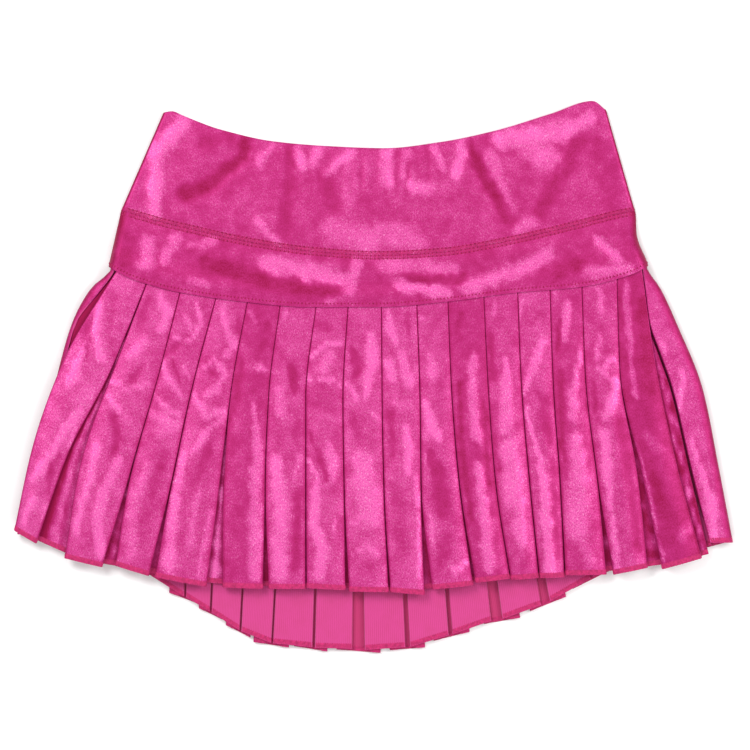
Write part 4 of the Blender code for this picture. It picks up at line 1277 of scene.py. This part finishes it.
def seam_walker(band, yoke, lift):
    """A function that gives the place at a distance above (or below) the waist seam, and its way out."""

    def at(column, away):
        sheet = band if away > 0 else yoke
        column = column % sheet.over.shape[1]
        row = row_near(sheet.over, column, max(abs(away), 0.15), away > 0)
        point, out = on_sheet(sheet, sheet.over, row, column)
        return point + out * lift, out

    return at


def cover_seam_places(band, yoke, sizes):
    """The coverstitch over the waist seam: three rows of needle thread with looper thread between them."""
    pitch, reach = sizes.stitch_pitch / MM, sizes.cover_width / MM / 2
    thick = sizes.thread / MM
    at = seam_walker(band, yoke, thick * 0.12)
    columns = along_edge(band.over[-1], pitch, True)
    step = float(np.median(np.diff(columns)))
    loop_size = [thick * share for share in LOOPER_SIZE]
    needle, looper, holes = [], [], []
    for count, column in enumerate(columns):
        out = at(column, 1.0)[1]
        for away, wide in ((reach - NEEDLE_IN, 1.0), (0.0, MIDDLE_ROW), (NEEDLE_IN - reach, 1.0)):
            ends = [at(column + shift * step, away)[0] for shift in (-STITCH_HALF, STITCH_HALF)]
            needle.append((*ends, out, thick * NEEDLE_WIDTH * wide, thick))
            # Dark grains of painted shade in the needle holes between stitches.
            hole = [at(column + shift * step, away)[0] + out * 0.1 for shift in (HOLE_FROM, HOLE_TO)]
            holes.append((*hole, out, thick * SEAM_HOLE_SIZE[0] * wide, thick * SEAM_HOLE_SIZE[1]))
        lean = LEANS[count % 2]
        for turn_at in LOOPS_ABOVE:
            top = at(column + (turn_at + lean) * step, reach - LOOP_IN)[0]
            middle = at(column + (turn_at - lean) * step, LOOP_OFF)[0]
            looper.append((top, middle, out, *loop_size))
        for turn_at in LOOPS_BELOW:
            middle = at(column + (turn_at - lean) * step, -LOOP_OFF)[0]
            foot = at(column + (turn_at + lean * 0.6) * step, LOOP_IN - reach)[0]
            looper.append((middle, foot, out, *loop_size))
    return needle + looper, holes


def topstitch_places(yoke, sizes):
    """One row of stitches just above the yoke's lower edge, and dark grains of painted shade in the holes
    between them.
    """
    thick = sizes.thread / MM
    stitches, holes = [], []
    columns = along_edge(yoke.over[-1], sizes.stitch_pitch / MM * TOPSTITCH_PITCH, True)
    step = float(np.median(np.diff(columns)))
    for column in columns:
        for shifts, kind, (width, height) in (
            ((-STITCH_HALF, STITCH_HALF), stitches, TOP_STITCH_SIZE),
            (TOP_HOLE, holes, TOP_HOLE_SIZE),
        ):
            ends = []
            for shift in shifts:
                at = (column + shift * step) % yoke.over.shape[1]
                point, out = on_sheet(yoke, yoke.over, row_near(yoke.over, at, TOPSTITCH_UP, True), at)
                ends.append(point + out * thick * 0.1)
            kind.append((ends[0], ends[1], out, thick * width, thick * height))
    return stitches, holes


def hem_edging(name, sheet, edging, sizes, thread):
    """The overlocked edge: thread laid side by side, aslant, round the cut edge of a hem."""
    tall, pitch = sizes.hem_height / MM, sizes.hem_pitch / MM
    foot, above = sheet.middle[-1], sheet.middle[-3]
    up = above - foot
    up /= np.linalg.norm(up, axis=1, keepdims=True)
    columns = along_edge(foot, pitch / 3.0, False)
    columns = np.concatenate([[0.0], columns, [len(foot) - 1.0]])
    at = np.arange(len(foot))
    line = np.stack([np.interp(columns, at, foot[:, k]) for k in range(3)], axis=1)
    rise = np.stack([np.interp(columns, at, up[:, k]) for k in range(3)], axis=1)
    run = np.gradient(line, axis=0)
    out = np.cross(run, rise)
    out /= np.maximum(np.linalg.norm(out, axis=1, keepdims=True), 1e-9)
    walked = np.concatenate([[0.0], np.cumsum(np.linalg.norm(np.diff(line, axis=0), axis=1))])
    rings = []
    for n, t in (*HEM_PROFILE, *[(-n, t) for n, t in reversed(HEM_PROFILE)]):
        wave = np.cos(2 * math.pi * (walked / pitch + HEM_SLANT * t * math.copysign(1.0, n)))
        reach = n * (edging.half + edging.ridge * wave)
        ragged = tall * t + (HEM_RAGGED * wave if t == 1.0 else 0.0)
        rings.append(line + out * reach[:, None] + rise * np.reshape(ragged, (-1, 1)))
    points = np.stack(rings, axis=1)
    count, around = points.shape[:2]
    here = np.arange(count * around).reshape(count, around)
    right = np.roll(here, -1, axis=1)
    faces = np.stack([here[:-1], right[:-1], right[1:], here[1:]], axis=2).reshape(-1, 4).tolist()
    faces += [here[0, ::-1].tolist(), here[-1].tolist()]
    uv_across = np.tile(np.arange(around) / around, count)
    piece = new_piece(name, points.reshape(-1, 3), faces, (thread,), np.zeros(len(faces), np.int32))
    layer = piece.data.uv_layers.new(name="UVMap")
    uv = np.stack([np.repeat(walked / UV_UNIT, around), uv_across], axis=1)
    corners = np.concatenate([np.array(face) for face in faces])
    layer.uv.foreach_set("vector", uv[corners].astype(np.float32).ravel())
    return piece


# ---------------------------------------------------------------- materials


def blank_material(name):
    """An empty material whose old look is dropped, its Principled shader and its node maker."""
    material = bpy.data.materials.get(name) or bpy.data.materials.new(name)
    material.use_nodes = True
    nodes, links = material.node_tree.nodes, material.node_tree.links
    nodes.clear()
    output = nodes.new("ShaderNodeOutputMaterial")
    surface = nodes.new("ShaderNodeBsdfPrincipled")
    links.new(surface.outputs["BSDF"], output.inputs["Surface"])

    def add(kind, sources=(), **settings):
        node = nodes.new(kind)
        for key, value in settings.items():
            if hasattr(node, key):
                setattr(node, key, value)
            else:
                node.inputs[key.replace("_", " ")].default_value = value
        for socket, source in sources:
            links.new(source, node.inputs[socket])
        return node

    return material, surface, add, links


def math_node(add, operation, first, second):
    """A Math node whose second input is a socket or a number."""
    node = add("ShaderNodeMath", [(0, first)], operation=operation)
    if isinstance(second, (int, float)):
        node.inputs[1].default_value = second
    else:
        node.id_data.links.new(second, node.inputs[1])
    return node.outputs[0]


def scaled(add, source, factor, offset):
    """The source times a factor, plus an offset."""
    node = add("ShaderNodeMath", [(0, source)], operation="MULTIPLY_ADD")
    node.inputs[1].default_value = factor
    node.inputs[2].default_value = offset
    return node.outputs[0]


def mapped(add, source, start, stop, low=0.0, high=1.0):
    """The source's range from start to stop, mapped to the one from low to high."""
    node = add("ShaderNodeMapRange", [("Value", source)])
    for name, value in (("From Min", start), ("From Max", stop), ("To Min", low), ("To Max", high)):
        node.inputs[name].default_value = value
    return node.outputs[0]


def colour_ramp(add, source, first, last, between=None):
    """A ramp between two stops, and through a third. A stop is its place and its colour."""
    ramp = add("ShaderNodeValToRGB", [("Fac", source)])
    for element, (place, colour) in zip(ramp.color_ramp.elements, (first, last)):
        element.position = place
        element.color = (*colour, 1.0)
    if between:
        ramp.color_ramp.elements.new(between[0]).color = (*between[1], 1.0)
    return ramp.outputs["Color"]


def roughen(add, links, surface, height, strength, distance):
    """A fine bump on the surface."""
    bump = add("ShaderNodeBump", [("Height", height)], Strength=strength, Distance=distance)
    links.new(bump.outputs["Normal"], surface.inputs["Normal"])


FOIL_METALLIC, FOIL_SPECULAR = 0.38, 0.18


def foil_material(colours, grain):
    """The cloth's right side: knit printed with fine foil; painted highlight on ridges, painted shade in
    troughs.
    """
    material, surface, add, links = blank_material("foil_knit")
    place = add("ShaderNodeTexCoord")
    shine = add("ShaderNodeAttribute", attribute_name="shine").outputs["Fac"]
    around = [("Vector", place.outputs["Object"])]
    mottle = add("ShaderNodeTexNoise", around, Scale=110.0, Detail=4.0, Roughness=0.6)
    # The knit's ribs run down the cloth, so its grain is drawn out that way.
    ribbed = add("ShaderNodeMapping", [("Vector", place.outputs["UV"])])
    ribbed.inputs["Scale"].default_value = (140.0, 80.0, 1.0)
    along = [("Vector", ribbed.outputs[0])]
    fine = add("ShaderNodeTexNoise", along, Scale=1.0, Detail=2.0, Roughness=0.6)
    specks = add("ShaderNodeTexNoise", along, Scale=0.85, Detail=3.0, Roughness=0.75, Distortion=0.6)
    # The painted highlight and shade of the shine attribute, shifted by a random mottle.
    bright = math_node(add, "ADD", shine, scaled(add, mottle.outputs["Fac"], 1.2, -0.6))
    lit = mapped(add, bright, -0.25, 0.95)
    # The knit's grain shows more where the painted highlight is.
    strength = scaled(add, lit, grain, grain)
    grained = math_node(add, "MULTIPLY", scaled(add, fine.outputs["Fac"], 1.0, -0.5), strength)
    share = math_node(add, "ADD", scaled(add, bright, 0.46, 0.5), grained)
    # The colour runs from painted shade through the flat foil to painted highlight.
    deep, bare, ridge = (0.05, colours.foil_painted_shade), (0.5, colours.foil), (1.0, colours.foil_painted_highlight)
    # Painted glints: bright specks only where the painted highlight is.
    sparkle = math_node(add, "MULTIPLY", mapped(add, specks.outputs["Fac"], 0.55, 0.67), lit)
    colour = add("ShaderNodeMix", data_type="RGBA")
    links.new(sparkle, colour.inputs["Factor"])
    links.new(colour_ramp(add, share, deep, ridge, between=bare), colour.inputs[6])
    colour.inputs[7].default_value = (*colours.painted_glint, 1.0)
    links.new(colour.outputs[2], surface.inputs["Base Color"])
    links.new(mapped(add, share, 0.0, 1.0, 0.58, 0.44), surface.inputs["Roughness"])
    surface.inputs["Metallic"].default_value = FOIL_METALLIC
    surface.inputs["Specular IOR Level"].default_value = FOIL_SPECULAR
    roughen(add, links, surface, fine.outputs["Fac"], 0.4, 0.0003)
    return material


SHADED = (1.5, 2.6)  # the heights (mm) over which painted shade on the inside fades from deep to full colour


def ribbed_material(name, colour, deep, roughness, ribs_a_unit, shaded=False):
    """Matt knit with fine ribs that run down the cloth, so many to a unit of its UV map."""
    material, surface, add, links = blank_material(name)
    place = add("ShaderNodeTexCoord")
    mottle = add("ShaderNodeTexNoise", [("Vector", place.outputs["Object"])], Scale=120.0, Detail=3.0)
    mottle = mottle.outputs["Fac"]
    across = [("Vector", place.outputs["UV"])]
    ribs = add("ShaderNodeTexWave", across, Scale=ribs_a_unit, Distortion=1.2, Detail_Scale=1.5)
    share = scaled(add, ribs.outputs["Fac"], 0.35, 0.25)
    if shaded:
        # Painted shade: the lowest layer, deep in the folds, is painted darker by its height.
        height = add("ShaderNodeSeparateXYZ", [("Vector", place.outputs["Object"])]).outputs["Z"]
        share = math_node(add, "ADD", share, mapped(add, height, SHADED[0] * MM, SHADED[1] * MM, -0.6, 0.0))
    share = math_node(add, "ADD", share, math_node(add, "MULTIPLY", mottle, 0.5))
    deep_at = 0.1 if shaded else 0.2
    links.new(colour_ramp(add, share, (deep_at, deep), (0.85, colour)), surface.inputs["Base Color"])
    rough = mapped(add, mottle, 0.0, 1.0, roughness - 0.05, roughness + 0.1)
    links.new(rough, surface.inputs["Roughness"])
    surface.inputs["Sheen Weight"].default_value = 0.2
    roughen(add, links, surface, ribs.outputs["Fac"], 0.3, 0.0003)
    return material


def thread_material(name, colour):
    """Matt sewing thread with a little twist."""
    material, surface, add, links = blank_material(name)
    place = add("ShaderNodeTexCoord").outputs["Object"]
    twist = add("ShaderNodeTexNoise", [("Vector", place)], Scale=480.0, Detail=4.0, Roughness=0.65)
    dark, pale = [0.6 * part for part in colour], [1.15 * part for part in colour]
    ramp = colour_ramp(add, twist.outputs["Fac"], (0.3, dark), (0.7, pale))
    links.new(ramp, surface.inputs["Base Color"])
    surface.inputs["Roughness"].default_value = 0.7
    surface.inputs["Specular IOR Level"].default_value = 0.2
    roughen(add, links, surface, twist.outputs["Fac"], 0.3, 0.0002)
    return material


def table_material(colours):
    """A plain pale table top with the faintest unevenness."""
    material, surface, add, links = blank_material("pale_table")
    place = add("ShaderNodeTexCoord").outputs["Object"]
    cloud = add("ShaderNodeTexNoise", [("Vector", place)], Scale=6.0, Detail=2.0)
    dull = [0.985 * part for part in colours.table]
    ramp = colour_ramp(add, cloud.outputs["Fac"], (0.0, dull), (1.0, colours.table))
    links.new(ramp, surface.inputs["Base Color"])
    surface.inputs["Roughness"].default_value = 0.9
    surface.inputs["Specular IOR Level"].default_value = 0.1
    return material


# ---------------------------------------------------------------- settings


def length_property(name, description, default, lowest, highest):
    return bpy.props.FloatProperty(
        name=name, description=description, default=default, min=lowest, max=highest,
        precision=5, unit="LENGTH", subtype="DISTANCE",
    )


def colour_property(name, description, default):
    return bpy.props.FloatVectorProperty(
        name=name, description=description, default=default, min=0.0, max=1.0, size=3, subtype="COLOR"
    )


class SkortSizes(bpy.types.PropertyGroup):
    """Sizes that a user may change."""

    cloth: length_property("Skirt cloth", "Thickness of the pleated cloth", 0.0008, 0.0004, 0.0011)
    crease_height: length_property("Crease height", "How high the soft creases stand", 0.0007, 0.0, 0.0015)
    stitch_pitch: length_property(
        "Stitch pitch", "Length of one stitch of the waist seam", 0.0031, 0.0015, 0.006
    )
    cover_width: length_property(
        "Coverstitch width", "Width of the waist seam's three rows", 0.0060, 0.003, 0.010
    )
    thread: length_property("Thread", "Thickness of the sewing thread", 0.00055, 0.0002, 0.001)
    hem_height: length_property(
        "Hem edging height", "How far up the overlocked edge reaches", 0.0036, 0.001, 0.008
    )
    hem_pitch: length_property(
        "Hem thread pitch", "Spacing of the overlock threads", 0.0017, 0.001, 0.004
    )
    grain: bpy.props.FloatProperty(
        name="Foil grain", description="How strongly the fine grain of the foil shows", default=0.8,
        min=0.0, max=1.5, subtype="FACTOR",
    )


class SkortColours(bpy.types.PropertyGroup):
    """Colours that a user may change, in linear light."""

    foil: colour_property("Foil", "The foil knit where it lies flat", (0.455, 0.020, 0.168))
    # Painted highlight: the foil where its shine is highest.
    foil_painted_highlight: colour_property(
        "Foil on ridges", "The foil knit where it catches the light", (0.77, 0.104, 0.395)
    )
    # Painted shade: the foil in troughs, folds and gaps, where its shine is lowest, and in the darkest
    # mottle.
    foil_painted_shade: colour_property("Foil in troughs", "The foil knit where it turns away", (0.27, 0.001, 0.050))
    # Painted glints: specks on the foil where the painted highlight is.
    painted_glint: colour_property("Glints", "The finest specks of the foil", (0.90, 0.33, 0.62))
    wrong_side: colour_property("Wrong side", "The matt inside of the cloth", (0.55, 0.034, 0.215))
    # The dark of the wrong side's ribs, and its painted shade deep in the folds.
    wrong_side_ribs_and_shade: colour_property("Wrong side in folds", "The inside deep in the folds", (0.43, 0.012, 0.110))
    thread: colour_property("Thread", "Sewing and overlock thread", (0.50, 0.022, 0.132))
    # Painted shade: the colour of the dark grains in the needle holes.
    dimple_shade: colour_property("Dimples", "The shade where the needle drew the cloth in", (0.34, 0.004, 0.066))
    shorts: colour_property("Shorts", "The knit of the inner shorts", (0.46, 0.028, 0.17))
    table: colour_property("Table", "The table top", (0.93, 0.93, 0.93))


def settings():
    scene = bpy.context.scene
    return scene.skort_sizes, scene.skort_colours


def garment_materials():
    """The foil side and the wrong side of the cloth, and the thread."""
    sizes, colours = settings()
    foil = foil_material(colours, sizes.grain)
    # The wrong side gets painted shade on its lowest layers.
    inside = ribbed_material("wrong_side_knit", colours.wrong_side, colours.wrong_side_ribs_and_shade, 0.72, 24.0, True)
    return foil, inside, thread_material("sewing_thread", colours.thread)


def front_sheet(sizes):
    return skirt_sheet(front_row, FRONT_ROWS, sizes.cloth / MM / 2, sizes.crease_height / MM)


def back_sheet(sizes):
    return skirt_sheet(back_row, BACK_ROWS, sizes.cloth / MM / 2, sizes.crease_height / MM)


def dress(piece, nodes=()):
    """The piece rides on the garment and stands for its solids."""
    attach(piece, "root")
    if nodes:
        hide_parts(*nodes)


# ---------------------------------------------------------------- operators


class SKORT_OT_waistband(bpy.types.Operator):
    """Make the folded waistband with its creases and gathers"""

    bl_idname = "skort.waistband"
    bl_label = "Waistband"

    def execute(self, context):
        sizes, _ = settings()
        foil, inside, _ = garment_materials()
        piece = cloth_piece("waistband", band_sheet(sizes), foil, inside)
        dress(piece, ("waistband_front", "waistband_back"))
        return {"FINISHED"}


class SKORT_OT_yoke(bpy.types.Operator):
    """Make the yoke between the waistband and the pleats"""

    bl_idname = "skort.yoke"
    bl_label = "Yoke"

    def execute(self, context):
        sizes, _ = settings()
        foil, inside, _ = garment_materials()
        piece = cloth_piece("yoke", yoke_sheet(sizes), foil, inside)
        dress(piece, ("yoke_front", "yoke_back"))
        return {"FINISHED"}


class SKORT_OT_skirt_front(bpy.types.Operator):
    """Make the box-pleated front of the skirt with its overlocked hem"""

    bl_idname = "skort.skirt_front"
    bl_label = "Skirt front"

    def execute(self, context):
        sizes, _ = settings()
        foil, inside, thread = garment_materials()
        sheet = front_sheet(sizes)
        piece = cloth_piece("skirt_front_cloth", sheet, foil, inside)
        dress(piece, ("skirt_front",))
        edging = hem_edging("hem_front", sheet, FRONT_EDGING, sizes, thread)
        dress(edging)
        return {"FINISHED"}


class SKORT_OT_skirt_back(bpy.types.Operator):
    """Make the longer back of the skirt, which wraps round both sides of the front"""

    bl_idname = "skort.skirt_back"
    bl_label = "Skirt back"

    def execute(self, context):
        sizes, _ = settings()
        foil, inside, thread = garment_materials()
        sheet = back_sheet(sizes)
        piece = cloth_piece("skirt_back_cloth", sheet, foil, inside, outside_over=False)
        dress(piece, ("skirt_back",))
        edging = hem_edging("hem_back", sheet, BACK_EDGING, sizes, thread)
        dress(edging)
        return {"FINISHED"}


class SKORT_OT_shorts(bpy.types.Operator):
    """Make the two sides of the inner shorts"""

    bl_idname = "skort.shorts"
    bl_label = "Inner shorts"

    def execute(self, context):
        _, colours = settings()
        deep = [0.78 * part for part in colours.shorts]
        knit = ribbed_material("shorts_knit", colours.shorts, deep, 0.7, 30.0)
        for side, hand in (("left", -1), ("right", 1)):
            sheet = shorts_sheet(hand, SHORTS_HALF)
            piece = cloth_piece(f"shorts_{side}_cloth", sheet, knit, knit, outside_over=hand > 0)
            dress(piece, (f"shorts_{side}",))
        return {"FINISHED"}


class SKORT_OT_stitching(bpy.types.Operator):
    """Sew the coverstitched waist seam and the topstitching of the yoke"""

    bl_idname = "skort.stitching"
    bl_label = "Seam stitches"

    def execute(self, context):
        sizes, colours = settings()
        _, _, thread = garment_materials()
        # The dark grains in the needle holes are painted shade.
        dimple_shade = thread_material("needle_dimples", colours.dimple_shade)
        band, yoke = band_sheet(sizes), yoke_sheet(sizes)
        for name, (stitches, holes) in (
            ("cover_seam", cover_seam_places(band, yoke, sizes)),
            ("yoke_topstitch", topstitch_places(yoke, sizes)),
        ):
            dress(sewn(name, stitches, thread))
            dress(sewn(name + "_dimples", holes, dimple_shade))
        return {"FINISHED"}


CAMERA_HEIGHT = 3.0
VIEW_WIDTH = 0.555  # what the picture's 750 pixels span on the garment
VIEW_LEVEL = 0.008  # the height at which they span it
VIEW_CENTRE = (0.00074, 0.00185)
SENSOR = 36.0  # mm
TABLE_WIDTH, TABLE_DROP = 6.0, 0.0002  # the table is just clear of the cloth that lies on it
WORLD_STRENGTH = 0.56

Light = namedtuple("Light", "name place size power")
LIGHTS = (
    Light("key_light", (-1.0, 0.9, 1.5), 0.9, 25.0),
    Light("side_light", (1.3, 0.3, 1.2), 0.8, 15.5),
    Light("low_light", (0.1, -1.5, 1.4), 1.0, 12.0),
)


def soft_light(light):
    """A square light that is turned to the garment."""
    bpy.ops.object.light_add(type="AREA", location=light.place)
    lamp = bpy.context.object
    lamp.name = light.name
    lamp.data.shape = "SQUARE"
    lamp.data.size = light.size
    lamp.data.energy = light.power
    lamp.rotation_mode = "QUATERNION"
    lamp.rotation_quaternion = (-Vector(light.place)).to_track_quat("-Z", "Y")


class SKORT_OT_stage(bpy.types.Operator):
    """Set out the table, the soft lights and the camera straight above"""

    bl_idname = "skort.stage"
    bl_label = "Table, lights and camera"

    def execute(self, context):
        _, colours = settings()
        bpy.ops.object.select_all(action="DESELECT")
        bpy.ops.mesh.primitive_plane_add(size=TABLE_WIDTH, location=(0.0, 0.0, 0.0))
        table = context.object
        table.name = "table"
        table.data.materials.append(table_material(colours))
        bpy.ops.object.mode_set(mode="EDIT")
        bpy.ops.mesh.select_all(action="SELECT")
        bpy.ops.mesh.subdivide(number_cuts=4)
        bpy.ops.transform.translate(value=(0.0, 0.0, -TABLE_DROP))
        bpy.ops.object.mode_set(mode="OBJECT")
        for light in LIGHTS:
            soft_light(light)
        bpy.ops.object.camera_add(location=(*VIEW_CENTRE, CAMERA_HEIGHT), rotation=(0.0, 0.0, 0.0))
        camera = context.object
        camera.name = "camera"
        camera.data.sensor_width = SENSOR
        camera.data.lens = SENSOR * (CAMERA_HEIGHT - VIEW_LEVEL) / VIEW_WIDTH
        camera.data.clip_end = 20.0
        context.scene.camera = camera
        context.scene.view_settings.view_transform = "Standard"
        world = bpy.data.worlds.new("studio")
        context.scene.world = world
        world.use_nodes = True
        background = world.node_tree.nodes["Background"]
        background.inputs["Color"].default_value = (1.0, 1.0, 1.0, 1.0)
        background.inputs["Strength"].default_value = WORLD_STRENGTH
        return {"FINISHED"}


OPERATORS = (
    SKORT_OT_waistband,
    SKORT_OT_yoke,
    SKORT_OT_skirt_front,
    SKORT_OT_skirt_back,
    SKORT_OT_shorts,
    SKORT_OT_stitching,
    SKORT_OT_stage,
)


class SKORT_PT_garment(bpy.types.Panel):
    """Sizes, colours and pieces of the skort"""

    bl_label = "Pleated mini skort"
    bl_idname = "SKORT_PT_garment"
    bl_space_type = "VIEW_3D"
    bl_region_type = "UI"
    bl_category = "Skort"

    def draw(self, context):
        layout = self.layout
        for group in (context.scene.skort_sizes, context.scene.skort_colours):
            column = layout.column(align=True)
            for name in group.__annotations__:
                column.prop(group, name)
        for operator in OPERATORS:
            layout.operator(operator.bl_idname)


CLASSES = (SkortSizes, SkortColours, *OPERATORS, SKORT_PT_garment)


def register():
    for entry in CLASSES:
        bpy.utils.register_class(entry)
    bpy.types.Scene.skort_sizes = bpy.props.PointerProperty(type=SkortSizes)
    bpy.types.Scene.skort_colours = bpy.props.PointerProperty(type=SkortColours)


def unregister():
    del bpy.types.Scene.skort_colours
    del bpy.types.Scene.skort_sizes
    for entry in reversed(CLASSES):
        bpy.utils.unregister_class(entry)


def main():
    register()
    bpy.ops.skort.waistband()
    bpy.ops.skort.yoke()
    bpy.ops.skort.skirt_front()
    bpy.ops.skort.skirt_back()
    bpy.ops.skort.shorts()
    bpy.ops.skort.stitching()
    bpy.ops.skort.stage()


if __name__ == "__main__":
    main()
